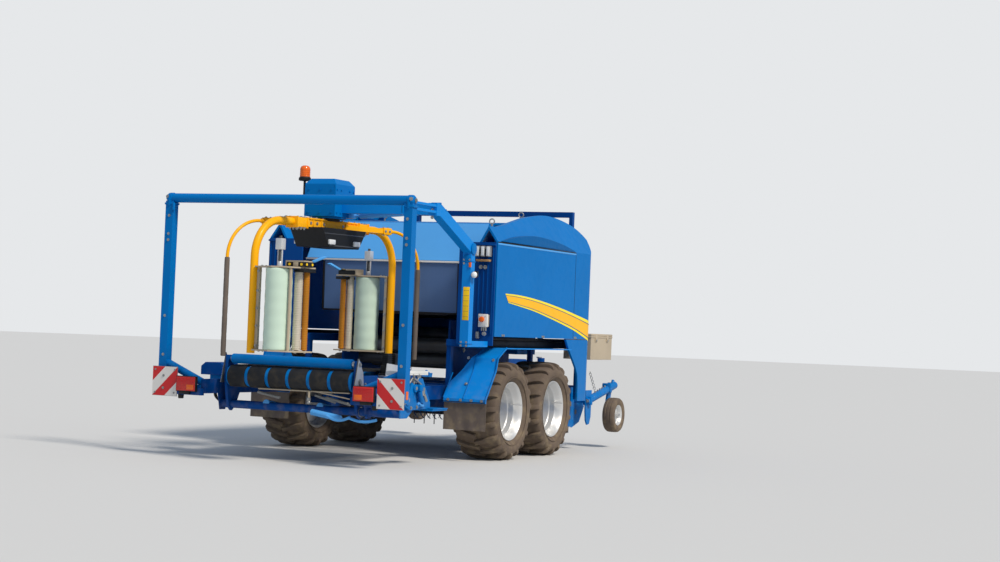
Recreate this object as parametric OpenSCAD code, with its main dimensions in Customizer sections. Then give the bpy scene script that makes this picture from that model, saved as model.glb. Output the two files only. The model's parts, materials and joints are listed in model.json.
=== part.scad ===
// Towed round baler with a bale wrapper behind it: two film arms turn over a belt table.
// X points forward, Y to the left, Z up. Places along X are measured from the rotor's axis,
// and on_floor() then moves every piece so that the origin is the middle of the box on the floor.

/* [Wheels] */
// Tyre diameter, out to the tips of the lugs
tyre_d = 1020; // [1000:5:1040]
// Tyre width
tyre_w = 490; // [460:5:495]
// Height of the tread lugs
lug_h = 36; // [24:2:42]
// Width of one lug along the tread
lug_w = 52; // [40:2:60]
// Lugs on each half of the tread
lug_count = 19; // [16:1:22]
// Diameter of the rim's bead seat
rim_d = 572; // [560:1:600]
// Distance between the middles of the right and left tyres
track_w = 2290; // [2280:5:2300]
// Place of the rear axle
rear_axle_x = 1595; // [1580:5:1610]
// Distance from the rear axle to the front axle
axle_gap = 1125; // [1100:5:1150]
// Distance of the wheel disc inside the middle of the tyre
disc_set = 110; // [80:5:130]
// Diameter of the stub axles
stub_d = 70; // [60:2:80]

/* [Frame] */
// Distance of the middle of each rail from the centre line
rail_y = 835; // [830:1:845]
// Width of a rail
rail_w = 50; // [40:2:56]
// Height of a rail
rail_h = 140; // [120:5:150]
// Height of the underside of the rails
rail_z = 620; // [610:5:640]
// Rear end of the rails
rail_rear_x = -846; // [-850:1:-842]
// Front end of the rails
rail_front_x = 3560; // [3520:5:3600]
// Depth and height of a cross member
cross_t = 90; // [70:5:110]
// Thickness of the bogie beams
bogie_w = 70; // [56:2:80]

/* [Drawbar] */
// Place of the hitch eye's bore
eye_x = 5900; // [5800:10:6000]
// Height of the middle of the hitch eye
eye_z = 460; // [430:5:480]
// Radius of the hitch eye's bore
eye_r = 25; // [25:0.5:30]
// Thickness of the hitch eye
eye_t = 40; // [30:1:50]
// Width of the drawbar beam
draw_w = 180; // [150:5:220]
// Height of the drawbar beam
draw_h = 170; // [140:5:190]
// Height of the underside of the drawbar over the pick-up
draw_z = 830; // [820:5:860]
// Place of the parking jack
jack_x = 5080; // [5000:10:5120]
// Distance of the parking jack to the right of the centre line
jack_y = 190; // [180:5:220]
// Diameter of the jack's outer tube
jack_d = 90; // [80:2:100]

/* [Bale chamber] */
// Place of the middle of the chamber
drum_x = 2170; // [2150:5:2190]
// Height of the middle of the chamber
drum_z = 1680; // [1670:5:1690]
// Bale diameter that the rollers leave free
bale_d = 1250; // [1230:5:1260]
// Diameter of a chamber roller
roller_d = 160; // [140:5:165]
// Distance of the inner faces of the chamber walls from the centre line
wall_y = 625; // [610:5:635]
// Thickness of the chamber walls and of the tailgate's sides
wall_t = 20; // [14:1:22]
// Place of the tailgate's pivot
gate_x = 2920; // [2900:5:2940]
// Height of the tailgate's pivot
gate_z = 1600; // [1590:5:1610]
// Half width of the tailgate's sloping skin
gate_y = 1030; // [1000:5:1035]
// Half width of the tailgate's lower panel
gate_low_y = 800; // [760:5:850]
// Thickness of the tailgate's skin
gate_t = 24; // [16:1:28]
// Clearance between the film rolls' circle and the tailgate, which sets how far ahead the baler stands
gate_gap = 48; // [45:1:60]
// Half width of the net roll's box
net_y = 740; // [700:5:780]
// Wall thickness of the net roll's box
net_t = 12; // [8:1:14]

/* [Hoods] */
// Distance of the outer face of a hood from the centre line
hood_y = 1350; // [1340:1:1360]
// Distance of the inner edge of a hood from the centre line
hood_in_y = 1060; // [1050:1:1070]
// Rear end of the hoods
hood_rear_x = 1120; // [1100:5:1140]
// Front end of the hoods
hood_front_x = 3870; // [3850:5:3885]
// Height of the lower edge of the hoods
hood_z = 1280; // [1275:1:1290]
// Height of the seam between panel and roof
seam_z = 2250; // [2240:5:2260]
// Height of the highest point of the roof
roof_z = 2640; // [2625:5:2650]
// Height of the roof at its rear end
roof_end_z = 2410; // [2400:5:2420]
// Radius of a hood's front corner
hood_r = 220; // [200:10:250]
// Wall thickness of a hood
hood_t = 22; // [14:1:26]

/* [Fenders] */
// Height of the top of a fender
fender_z = 1165; // [1160:1:1170]
// Distance of the outer edge of a fender from the centre line
fender_y = 1385; // [1380:1:1385]
// Distance of the inner edge of a fender from the centre line
fender_in_y = 905; // [895:1:920]
// Thickness of a fender's sheet
fender_t = 10; // [6:1:12]
// Height of the lower edge of a fender
fender_low_z = 600; // [580:5:620]
// Length of the rubber flap under a fender
flap_h = 280; // [240:5:300]

/* [Wrapping rotor] */
// Radius at which the arms run
arm_r = 1140; // [1120:5:1150]
// Diameter of an arm's tube
arm_d = 76; // [60:2:84]
// Height of the horizontal part of the arms
arm_z = 2320; // [2310:1:2325]
// Height of the lower end of the arms
arm_low_z = 1040; // [1020:5:1060]
// Bend radius of the arms
arm_bend = 370; // [330:5:400]
// Angle of the rear arm, turned about the rotor's axis from straight ahead
arm_turn = 173; // [168:1:178]
// Angle between an arm and the safety arm behind it
guard_turn = 14; // [12:1:16]
// Distance of the safety arms outside the arms, along the radius
guard_gap = 80; // [75:1:85]
// Diameter of the safety arms' sleeves
guard_d = 50; // [40:2:56]
// Diameter of a full film roll
film_d = 260; // [240:5:265]
// Width of the wrapping film
film_h = 750; // [720:5:760]
// Distance of the film roll from the arm, along the turning circle
film_s = 303; // [295:1:310]

/* [Table] */
// Distance of the belt drums before and behind the rotor's axis
drum_gap = 580; // [560:5:590]
// Height of the belt drums
belt_z = 800; // [795:1:810]
// Diameter over the belts
belt_d = 216; // [206:2:226]
// Thickness of a belt
belt_t = 9; // [6:1:10]
// Number of belts
belt_count = 6; // [5:1:7]
// Width of one belt
belt_w = 190; // [170:5:200]
// Half length of the drums
drum_y = 690; // [680:5:695]
// Height of the stop roller over the rear drum
stop_z = 968; // [965:1:975]
// Diameter of the stop roller
stop_d = 97; // [90:1:100]
// Place of the tube on which the table tilts
tilt_x = -520; // [-530:1:-510]
// Height of the tube on which the table tilts
tilt_z = 520; // [510:1:530]
// Diameter of that tube
tilt_d = 80; // [70:2:90]

/* [Portal] */
// Place of the portal's posts
post_x = -800; // [-820:5:-790]
// Distance of the middle of a post from the centre line
post_y = 1320; // [1315:1:1325]
// Width of a post
post_w = 86; // [80:2:90]
// Depth of a post
post_l = 92; // [86:2:98]
// Height of the portal's top tube
portal_z = 2520; // [2510:5:2530]
// Diameter of the portal's top tube
portal_d = 92; // [86:2:98]
// Height of the lower end of the posts
post_low_z = 640; // [630:5:650]
// Side of a square warning plate
plate_w = 282; // [260:1:284]
// Rear face of the side column
column_x = 560; // [555:5:575]
// Depth of the side column
column_l = 90; // [80:5:100]
// Width of the side column
column_w = 95; // [85:5:110]
// Height of the lower end of the side column
column_low_z = 1170; // [1168:1:1175]
// Distance of the middle of the side column from the centre line
column_y = 1272; // [1265:1:1280]
// Thickness of the slanting beam over the side column
slant_t = 112; // [100:2:124]

/* [Pick-up] */
// Place of the pick-up reel's shaft
reel_x = 4050; // [4030:5:4070]
// Height of the pick-up reel's shaft
reel_z = 430; // [420:5:440]
// Radius over the tines' tips
reel_r = 250; // [230:5:255]
// Half width of the pick-up
pick_y = 1080; // [1060:5:1090]
// Place of the pick-up's pivot
pick_x = 3480; // [3470:5:3490]
// Height of the pick-up's pivot
pick_z = 560; // [550:5:570]
// Diameter of a gauge wheel
gauge_d = 410; // [390:5:415]
// Width of a gauge wheel
gauge_w = 150; // [130:5:150]
// Place of the gauge wheels
gauge_x = 4720; // [4700:5:4740]
// Height of the gauge wheels' shafts
gauge_z = 390; // [385:1:400]
// Diameter of the tube that carries a gauge wheel
gauge_arm_d = 90; // [76:2:96]
// Distance of a gauge wheel's middle from the centre line
gauge_y = 1310; // [1295:5:1310]

/* [Hidden] */
$fn = 48;

blue = "#0b6cc4";
navy = "#0c3f86";
yellow = "#f7a914";
black = "#1d1e20";
silver = "#c9cdd4";
pin_fit = 0.3;
run_gap = 6;
wheel_y = track_w / 2;
axle_z = tyre_d / 2;
front_axle_x = rear_axle_x + axle_gap;
rail_top = rail_z + rail_h;
rail_in = rail_y - rail_w / 2;
rail_out = rail_y + rail_w / 2;
drum_r = bale_d / 2 + roller_d / 2;
wall_out = wall_y + wall_t;
gate_in = wall_out + run_gap;
gate_roof_y = gate_y - 80;
roll_r = film_d / 2;
eye_out = eye_r + 30;
plate_r = arm_r + roll_r + 2;
reach_x = plate_r * cos(arm_turn) - film_s * sin(arm_turn);
gate_rear_x = 1355;
baler_x = norm([plate_r, film_s]) + gate_gap - gate_rear_x;
sill_h = 70;
sill_y = 1150;
bulk_x = hood_rear_x - 30;
hinge_y = hood_in_y - 35;
hinge_z = 2585;
hinge_r = 12;
hinge_x = [2600, 3000];
rail_head_z = 2560;
housing_z = 2400;
guard_r = arm_r + guard_gap;
mid_x = (eye_x + baler_x + eye_out + reach_x) / 2;

// Normal of the way from a to b, and the ends of a band of thickness t laid along points p.
function way_normal(a, b) = let (d = b - a) [-d[1], d[0]] / norm(d);
function band_corner(p, i, t) =
  i == 0 ? p[0] + t * way_normal(p[0], p[1]) :
  i == len(p) - 1 ? p[i] + t * way_normal(p[i - 1], p[i]) :
  let (m = way_normal(p[i - 1], p[i]) + way_normal(p[i], p[i + 1])) p[i] + t * m * 2 / (m * m);
function band(p, t) = concat(p, [for (i = [len(p) - 1:-1:0]) band_corner(p, i, t)]);

module on_floor() { translate([-mid_x, 0, 0]) children(); }
// The baler stands ahead of the wrapper, as far as the film rolls' circle needs.
module on_baler() { translate([baler_x - mid_x, 0, 0]) children(); }
module both_sides() { children(); mirror([0, 1, 0]) children(); }
module block(x, y, z) { translate([x[0], y[0], z[0]]) cube([x[1] - x[0], y[1] - y[0], z[1] - z[0]]); }
// A drawing in X and Z, made solid from y[0] to y[1].
module side_cut(y) { translate([0, y[1], 0]) rotate([90, 0, 0]) linear_extrude(y[1] - y[0]) children(); }
module bar_y(x, z, r, y) { translate([x, y[0], z]) rotate([-90, 0, 0]) cylinder(r = r, h = y[1] - y[0]); }
module bar_x(y, z, r, x) { translate([x[0], y, z]) rotate([0, 90, 0]) cylinder(r = r, h = x[1] - x[0]); }
// A straight tube from point a to point b.
module tube_to(a, b, r) {
  d = b - a;
  translate(a) rotate([0, acos(d[2] / norm(d)), atan2(d[1], d[0])]) cylinder(r = r, h = norm(d));
}

// Running gear

module tyre() {
  half = tyre_w / 2;
  body_r = tyre_d / 2 - lug_h;
  bead_r = rim_d / 2;
  rotate([90, 0, 0]) rotate_extrude($fn = 72) polygon([
    [bead_r, 61 - half], [bead_r + 21, 50 - half], [bead_r + 60, 8 - half], [bead_r + 120, -half],
    [body_r - 25, 12 - half],
    [body_r, -half + 50], [body_r, half - 50], [body_r - 25, half - 12], [bead_r + 120, half],
    [bead_r + 60, half - 8], [bead_r + 21, half - 50], [bead_r, half - 61], [bead_r, half - 82],
    [bead_r + 30, half - 95], [bead_r + 30, 95 - half], [bead_r, 82 - half]]);
  intersection() {
    rotate([90, 0, 0]) cylinder(r = tyre_d / 2, h = tyre_w, center = true, $fn = 72);
    for (side = [-1, 1], i = [0:lug_count - 1])
      rotate([0, 180 + (i + side / 4) * 360 / lug_count, 0]) translate([-lug_w * 1.1, 0, body_r - 30])
        linear_extrude(lug_h + 40) polygon([
          [0, -side * 12], [lug_w, -side * 12], [lug_w * 2.1, side * (half - 90)],
          [lug_w * 2.2, side * (half - 4)], [lug_w * 1.2, side * (half - 4)], [lug_w, side * (half - 90)]]);
  }
}

// Half section of the rim, its dish and its hub, with the outer side of the wheel towards +Y.
module rim() {
  half = tyre_w / 2;
  seat = rim_d / 2 - pin_fit;
  bore = stub_d / 2 + pin_fit;
  rotate([-90, 0, 0]) rotate_extrude($fn = 72) polygon([
    [seat + 20, half - 36], [seat + 20, half - 48], [seat, half - 60], [seat, half - 85],
    [seat - 30, half - 110], [seat - 30, 110 - half], [seat, 85 - half], [seat, 60 - half],
    [seat + 20, 48 - half], [seat + 20, 36 - half],
    [seat - 10, 36 - half], [seat - 12, 64 - half], [seat - 42, 114 - half], [seat - 42, -disc_set - 12],
    [bore, -disc_set - 12], [bore, 46 - disc_set], [0, 46 - disc_set], [0, 70 - disc_set],
    [stub_d / 2 + 20, 70 - disc_set], [stub_d / 2 + 30, 30 - disc_set], [stub_d + 60, 22 - disc_set],
    [seat - 62, 8 - disc_set], [seat - 42, 8 - disc_set], [seat - 42, half - 114], [seat - 12, half - 64],
    [seat - 10, half - 36]]);
}

module bogies() {
  color(navy) on_baler() both_sides() {
    inner = rail_in - 10;
    side_cut([inner - bogie_w, inner]) polygon([
      [rear_axle_x - 90, axle_z - 60], [front_axle_x + 90, axle_z - 60],
      [front_axle_x + 90, axle_z + 50], [(rear_axle_x + front_axle_x) / 2 + 160, rail_z - 6],
      [(rear_axle_x + front_axle_x) / 2 - 160, rail_z - 6], [rear_axle_x - 90, axle_z + 50]]);
    for (x = [rear_axle_x, front_axle_x]) {
      bar_y(x, axle_z, stub_d / 2 + 25, [inner, wheel_y - tyre_w / 2 - 12]);
      bar_y(x, axle_z, stub_d / 2, [inner, wheel_y - disc_set + 40]);
    }
    block([(rear_axle_x + front_axle_x) / 2 - 60, (rear_axle_x + front_axle_x) / 2 + 60],
      [0, rail_out], [axle_z - 50, rail_z]);
  }
}

// Frame

cross_x = [950, 1640, 2600, 3040];
module main_frame() {
  color(navy) on_floor() {
    both_sides() {
      block([rail_rear_x, rail_front_x + baler_x], [rail_in, rail_out], [rail_z, rail_top]);
      side_cut([rail_in, rail_in + 10]) polygon([[tilt_x - 90, rail_z], [tilt_x - 50, tilt_z - 60],
        [tilt_x + 50, tilt_z - 60], [tilt_x + 90, rail_z]]);
    }
    bar_y(tilt_x, tilt_z, tilt_d / 2, [-1160, rail_in + 10]);
    translate([baler_x, 0, 0]) {
      both_sides() {
        for (x = [hood_rear_x + 40, (rear_axle_x + front_axle_x) / 2, 3240])
          block([x - 30, x + 30], [rail_in, rail_out], [rail_top, fender_z]);
        side_cut([700, 720]) difference() {
          polygon([[pick_x - 70, rail_z], [pick_x - 40, pick_z - 50],
            [pick_x + 40, pick_z - 50], [pick_x + 70, rail_z]]);
          translate([pick_x, pick_z]) circle(r = 30 + pin_fit);
        }
      }
      for (x = cross_x)
        block([x - cross_t / 2, x + cross_t / 2], [-rail_in, rail_in], [rail_top - cross_t, rail_top]);
      block([rail_front_x - 120, rail_front_x], [-rail_in, rail_in], [rail_z, rail_top]);
    }
  }
}

beam_end_x = eye_x - 230;
module drawbar() {
  color(navy) on_baler() side_cut([-draw_w / 2, draw_w / 2]) polygon([
    [rail_front_x - 160, rail_top], [rail_front_x - 160, draw_z + draw_h], [4850, draw_z + draw_h],
    [beam_end_x - 100, eye_z + 110], [beam_end_x, eye_z + 60], [beam_end_x, eye_z - 60],
    [beam_end_x - 190, eye_z - 60], [4760, draw_z], [rail_front_x + 120, draw_z], [rail_front_x, rail_top]]);
}

module hitch() {
  color(navy) on_baler() difference() {
    union() {
      block([beam_end_x, eye_x], [-45, 45], [eye_z - eye_t / 2, eye_z + eye_t / 2]);
      translate([eye_x, 0, eye_z - eye_t / 2]) cylinder(r = eye_out, h = eye_t);
    }
    translate([eye_x, 0, eye_z - eye_t]) cylinder(r = eye_r, h = 2 * eye_t);
  }
}

module jack_tube() {
  color(navy) on_baler() {
    translate([jack_x, -jack_y, 460]) difference() {
      cylinder(d = jack_d, h = 560);
      translate([0, 0, -1]) cylinder(r = jack_d / 2 - 8, h = 520);
    }
    block([jack_x - 50, jack_x + 50], [-jack_y + jack_d / 2 - 6, -draw_w / 2], [760, 880]);
  }
}

module jack_leg() {
  color(silver) on_baler() translate([jack_x, -jack_y, 0]) {
    cylinder(d = 200, h = 14);
    translate([0, 0, 14]) cylinder(r = jack_d / 2 - 8 - pin_fit, h = 560);
  }
}

// Bale chamber

skin_path = [[2300, 2440], [2800, 2415], [3080, 2120], [3080, 1300]];
module wall_outline() {
  polygon(concat(skin_path, [[3080, rail_top], [1595, rail_top], [1540, 1000], [1540, 1430], [2060, 1430]]));
}

module chamber_walls() {
  color(navy) on_baler() both_sides() {
    side_cut([wall_y, wall_out]) wall_outline();
    bar_y(gate_x, gate_z, 30, [wall_out, wall_out + run_gap + wall_t + 12]);
  }
}

module chamber_skin() {
  color(navy) on_baler() {
    side_cut([-wall_out, wall_out]) polygon(band(skin_path, 12));
    side_cut([-wall_y, wall_y]) polygon(band([[3080, 1290], [2900, 1010], [2700, 900]], -12));
  }
}

// Angles of the rollers round the chamber, anticlockwise from straight ahead.
fixed_rollers = [-132, -108, -84, -60, -36, -12, 12, 36, 58];
gate_rollers = [100, 130, 160, 190];
module rollers(angles, y) {
  for (a = angles) let (x = drum_x + drum_r * cos(a), z = drum_z + drum_r * sin(a)) {
    bar_y(x, z, roller_d / 2, [-wall_y + 3, wall_y - 3]);
    bar_y(x, z, 25, [-y, y]);
  }
}
module chamber_rollers() { color("#3a3d42") on_baler() rollers(fixed_rollers, wall_y); }
module tailgate_rollers() { color("#3a3d42") on_baler() rollers(gate_rollers, gate_in); }

gate_path = [[1370, 1500], [1355, 2040], [1600, 2462], [2260, 2512]];
module tailgate_shell() {
  color(blue) on_baler() {
    intersection() {
      side_cut([-gate_y, gate_y]) polygon(band(gate_path, -gate_t));
      union() {
        block([1300, 1700], [-gate_y, gate_y], [2030, 2600]);
        block([1700, 2300], [-gate_roof_y, gate_roof_y], [2030, 2600]);
        block([1300, 1500], [-gate_low_y, gate_low_y], [1450, 2100]);
      }
    }
    both_sides() {
      side_cut([gate_y - 10, gate_y])
        polygon([[1362, 2045], [1602, 2460], [1700, 2462], [1700, 2300], [1480, 2042]]);
      side_cut([gate_in, gate_in + wall_t]) difference() {
        polygon([[1385, 1510], [1372, 2040], [1612, 2440], [2250, 2485], [2600, 2200],
          [gate_x + 60, gate_z + 40], [gate_x + 30, gate_z - 60], [gate_x - 60, gate_z - 60], [1900, 1480]]);
        translate([gate_x, gate_z]) circle(r = 30 + pin_fit);
      }
    }
  }
}

net_x = 3092;
net_front_x = 3600;
net_path = [[net_front_x, 1080], [net_front_x, 1500], [3540, 2080], [3260, 2240],
  [net_x, 2180], [net_x, 1080]];
module net_box() {
  color(blue) on_baler() difference() {
    side_cut([-net_y, net_y]) polygon(net_path);
    side_cut([net_t - net_y, net_y - net_t]) polygon(concat([[net_x, 1070], [net_front_x - net_t, 1070]],
      [for (i = [1:4]) band_corner(net_path, i, net_t)], [[net_x, 1070]]));
  }
}

module top_rails() {
  color(navy) on_baler() {
    both_sides() {
      block([2450, hood_front_x + 90], [hinge_y - 50, hinge_y - 6], [rail_head_z - 70, rail_head_z]);
      block([hood_front_x + 30, hood_front_x + 90], [hinge_y - 50, hinge_y - 6], [rail_head_z, 2748]);
      for (x = hinge_x) {
        block([x, x + 20], [hinge_y - 40, hinge_y + 18], [rail_head_z, hinge_z + 18]);
        bar_x(hinge_y, hinge_z, hinge_r, [x + 20, x + 52]);
      }
    }
    block([3110, 3180], [50 - hinge_y, hinge_y - 50], [rail_head_z - 70, rail_head_z - 20]);
    block([hood_front_x + 30, hood_front_x + 90], [50 - hinge_y, hinge_y - 50], [2685, 2748]);
  }
}

// Side covers

roof_run = hood_y - hood_in_y - 15;
roof_lean = (roof_z - seam_z) / roof_run;
roof_cut = norm([1, roof_lean]);
// The roof line from rear to front, as shares of the hood's length and of the roof's rise.
roof_form = [[0, 0], [0.095, 0.035], [0.222, 0.28], [0.411, 0.665], [0.567, 0.91], [0.665, 1],
  [0.756, 0.985], [0.847, 0.86], [0.92, 0.66], [0.971, 0.35], [1, -0.05]];
roof_steps = 4;
roof_last = len(roof_form) - 1;
// A smooth curve through the points of roof_form: the place at share f between point i and the next.
function roof_at(i, f) =
  let (a = roof_form[max(i - 1, 0)], b = roof_form[i], c = roof_form[i + 1],
    d = roof_form[min(i + 2, roof_last)])
  b + f / 2 * (c - a + f * (2 * a - 5 * b + 4 * c - d + f * (3 * b - a - 3 * c + d)));
roof_line = [for (k = [0:roof_steps * roof_last])
  let (i = min(floor(k / roof_steps), roof_last - 1), p = roof_at(i, k / roof_steps - i))
  [hood_rear_x + p[0] * (hood_front_x - hood_rear_x), roof_end_z + p[1] * (roof_z - roof_end_z)]];

// Plan of a hood and of the leg under its front corner, drawn in by t.
module hood_plan(t) {
  corner_x = hood_front_x - hood_r;
  translate([hood_rear_x - 40, hood_in_y - 10])
    square([corner_x - hood_rear_x + 40, hood_y - hood_in_y + 10 - t]);
  translate([corner_x, hood_y - hood_r]) circle(r = hood_r - t, $fn = 96);
  translate([corner_x - 10, hood_in_y - 10]) square([hood_r - t + 10, hood_y - hood_r - hood_in_y + 10]);
}

// The hood's form from rear_x on, drawn in by t: side view, cross-section, plan and the rear gable's
// inner slope.
module hood_form(t, rear_x) {
  ridge_z = roof_z - roof_cut * t + (13 - t) * roof_lean;
  difference() {
    intersection() {
      side_cut([hood_in_y - 10, hood_y + 10]) translate([0, -t]) polygon(concat(
        [[hood_front_x + 20, hood_z + 3 * t], [rear_x, hood_z + 3 * t], [rear_x, roof_end_z]],
        roof_line, [roof_line[len(roof_line) - 1] + [20, 0]]));
      translate([rear_x - 20, 0, 0]) rotate([90, 0, 90]) linear_extrude(hood_front_x - rear_x + 40)
        polygon([[hood_y + 20 - t, hood_z - 20], [hood_y + 20 - t, seam_z - 0.3 * t - 20 * roof_lean],
          [hood_in_y + t + 2, ridge_z], [hood_in_y + t, ridge_z], [hood_in_y + t, hood_z - 20]]);
      linear_extrude(roof_z + 50) hood_plan(t);
    }
    translate([hood_rear_x, hood_in_y + 179, roof_end_z]) rotate([60.5, -7.3, -8.6])
      translate([-200, -600, -t]) cube([2200, 1200, 600]);
  }
}

// Round eye of a hood's hinge, which stays clear of the rail below it as the hood swings up.
knuckle_r = 19;
module hood() {
  for (x = hinge_x) difference() {
    union() {
      block([x + 26, x + 46], [hinge_y, hood_in_y + 6], [hinge_z - knuckle_r, hinge_z + knuckle_r]);
      bar_x(hinge_y, hinge_z, knuckle_r, [x + 26, x + 46]);
    }
    bar_x(hinge_y, hinge_z, hinge_r + pin_fit, [x, x + 60]);
  }
  difference() {
    hood_form(0, hood_rear_x);
    hood_form(hood_t, hood_rear_x - 5);
    block([hood_rear_x - 50, hood_front_x - 420], [hood_in_y - 50, hood_y - hood_t],
      [hood_z - 50, seam_z - 20]);
  }
}

module hood_left() { color(blue) on_baler() hood(); }
module hood_right() { color(blue) on_baler() mirror([0, 1, 0]) hood(); }

leg_t = 26;
// Rear edge of a front leg from its top down, then its foot, as distances behind the hood's front and
// below the hood.
leg_form = [[0, 8], [830, 8], [750, 100], [640, 200], [520, 310], [455, 400], [430, 520], [425, 700], [0, 700]];
module front_legs() {
  color(blue) on_baler() both_sides() {
    intersection() {
      linear_extrude(hood_z) difference() {
        hood_plan(0);
        hood_plan(leg_t);
      }
      side_cut([hood_y - hood_r, hood_y + 5])
        polygon([for (p = leg_form) [hood_front_x - p[0], hood_z - p[1]]]);
    }
    block([hood_front_x - 400, hood_front_x - 260], [sill_y, hood_y - leg_t],
      [fender_z + 15, fender_z + 60]);
  }
}

module side_sills() {
  color(navy) on_baler() both_sides() {
    block([bulk_x + 22, hood_front_x - 250], [rail_in, sill_y], [fender_z, fender_z + sill_h]);
    block([bulk_x, bulk_x + 22], [gate_low_y + 130, hood_y - 8], [fender_z + 20, seam_z - 10]);
    block([bulk_x + 22, bulk_x + 72], [hood_in_y - 90, hood_in_y - 40], [fender_z + sill_h, seam_z - 10]);
    block([3110, 3170], [hood_in_y - 90, hood_in_y - 41], [fender_z + sill_h, rail_head_z - 70]);
  }
}

// Fenders

// The fender ends just behind the sloping edge of the front leg.
leg_gap_x = 740;
fender_path = [[905, fender_low_z], [905, fender_low_z + 40], [1130, 930], [1170, 1060], [1370, fender_z],
  [hood_front_x - leg_gap_x, fender_z]];
module fenders() {
  color(blue) on_baler() both_sides() difference() {
    side_cut([fender_in_y, fender_y]) polygon(band(fender_path, -fender_t));
    translate([880, 0, 0]) rotate([90, 0, 90]) linear_extrude(490) polygon([[fender_in_y - 10, 795],
      [fender_in_y + 5, 795], [fender_in_y + 240, fender_z - 15], [fender_in_y + 240, fender_z + 5],
      [fender_in_y - 10, fender_z + 5]]);
  }
}

module flaps() {
  color("#6f625a") on_baler() both_sides()
    block([905 + fender_t, 917 + fender_t], [fender_in_y, fender_y],
      [fender_low_z - flap_h, fender_low_z + 34]);
}

// Side columns, gantry and portal

gantry_rear_x = -250;
gantry_top_z = 2540;
slant_x = -170;
knee_z = 2190;
module gantry() {
  front_x = column_x + column_l;
  fall = (gantry_top_z - knee_z) / (front_x - slant_x);
  drop = slant_t * norm([1, fall]);
  color(blue) on_floor() mirror([0, 1, 0]) {
    side_cut([column_y - column_w / 2, column_y + column_w / 2]) polygon([
      [gantry_rear_x, gantry_top_z], [slant_x, gantry_top_z], [front_x, knee_z], [front_x, column_low_z],
      [column_x, column_low_z], [column_x, knee_z + column_l * fall - drop],
      [slant_x, gantry_top_z - drop], [gantry_rear_x, gantry_top_z - drop]]);
    for (z = [gantry_top_z - 100, gantry_top_z - 40])
      block([post_x + post_l / 2, gantry_rear_x], [column_y + 12, column_y + 42], [z, z + 25]);
    block([front_x, bulk_x + baler_x], [column_y - 20, column_y + 20], [column_low_z, column_low_z + 60]);
    block([-50, 50], [-175, column_y - column_w / 2], [gantry_top_z - 100, gantry_top_z]);
  }
}

module hub_housing() {
  color(blue) on_floor() {
    block([-195, -50], [-175, 175], [housing_z, 2720]);
    block([50, 195], [-175, 175], [housing_z, 2720]);
    block([-50, 50], [-175, 175], [gantry_top_z, 2720]);
    block([-50, 50], [-175, 175], [housing_z, gantry_top_z - 100]);
    hull() {
      translate([-195, -175, 2720]) cube([390, 350, 1]);
      translate([-150, -130, 2774]) cube([300, 260, 1]);
    }
  }
}

module beacon() {
  color("#f06a10") on_floor() translate([-60, 260, 2600]) {
    translate([-20, -85, 0]) cube([40, 85, 20]);
    cylinder(r = 12, h = 160);
    translate([0, 0, 160]) cylinder(r = 62, h = 30);
    translate([0, 0, 190]) cylinder(r = 52, h = 95);
    translate([0, 0, 285]) cylinder(r1 = 52, r2 = 30, h = 30);
  }
}

module portal() {
  color(blue) on_floor() {
    bar_y(post_x, portal_z, portal_d / 2, [-post_y - 32, post_y + 32]);
    both_sides() {
      block([post_x - post_l / 2, post_x + post_l / 2], [post_y - post_w / 2, post_y + post_w / 2],
        [post_low_z, portal_z - 30]);
      difference() {
        tube_to([post_x, post_y - 20, 905], [post_x, rail_out - 30, 706], 38);
        block([post_x - 60, post_x + 60], [rail_in, rail_out], [600, 900]);
      }
      block([post_x - 45, post_x + 45], [rail_out, post_y - post_w / 2], [rail_z + 20, rail_z + 80]);
    }
  }
}

module light_bar() {
  color(navy) on_floor() both_sides()
    block([post_x - post_l / 2 - 50, post_x - post_l / 2], [820, post_y + 40], [600, 670]);
}

module warning_plates() {
  color("#d9d6d0") on_floor() both_sides()
    block([post_x - post_l / 2 - 56, post_x - post_l / 2 - 50], [1385 - plate_w, 1385], [580, 580 + plate_w]);
}

module tail_lamps() {
  color("#c8181c") on_floor() both_sides()
    block([post_x - post_l / 2 - 90, post_x - post_l / 2 - 50], [870, 1085], [640, 775]);
}

box_x = [-420, -240];
box_y = 1040;
box_z = 790;
module side_brackets() {
  color(blue) on_floor() {
    side_cut([-1180, -1160]) polygon([[-560, 480], [-420, 480], [-300, 560], [60, 560], [60, 620],
      [-120, 860],
      [-240, 860], [-330, 700], [-560, 620]]);
    block([0, 320], [-1240, -1060], [540, 560]);
    block([-100, -40], [-1160, -rail_out], [rail_z + 20, rail_z + 80]);
    block(box_x, [rail_out, box_y], [rail_z, box_z]);
  }
}

// Cover over the drive that turns the table's belts
module drive_cover() {
  color(navy) on_floor() translate([box_x[0] - 30, 0, 0]) rotate([90, 0, 90]) linear_extrude(300)
    polygon([[rail_out, box_z], [box_y + 90, box_z], [box_y + 90, box_z + 85], [box_y + 40, box_z + 125],
      [rail_out + 40, box_z + 125], [rail_out, box_z + 85]]);
}

module tray() {
  color("#e9e9e6") on_floor() {
    block([post_x + post_l / 2 + 40, -80], [-1210, -1110], [890, 925]);
    block([post_x + post_l / 2, post_x + post_l / 2 + 40], [-1290, -1110], [890, 925]);
    block([-200, -160], [-1180, -1160], [860, 890]);
  }
}

module hoses() {
  color(black) on_floor() for (i = [0:2])
    translate([box_x[0] + 50 + 35 * i, (rail_out + box_y) / 2 - 20, rail_z]) rotate([0, 90, 0])
      rotate([0, 0, -90])
      rotate_extrude(angle = 180) translate([80 + 15 * i, 0]) circle(r = 11);
}

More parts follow.
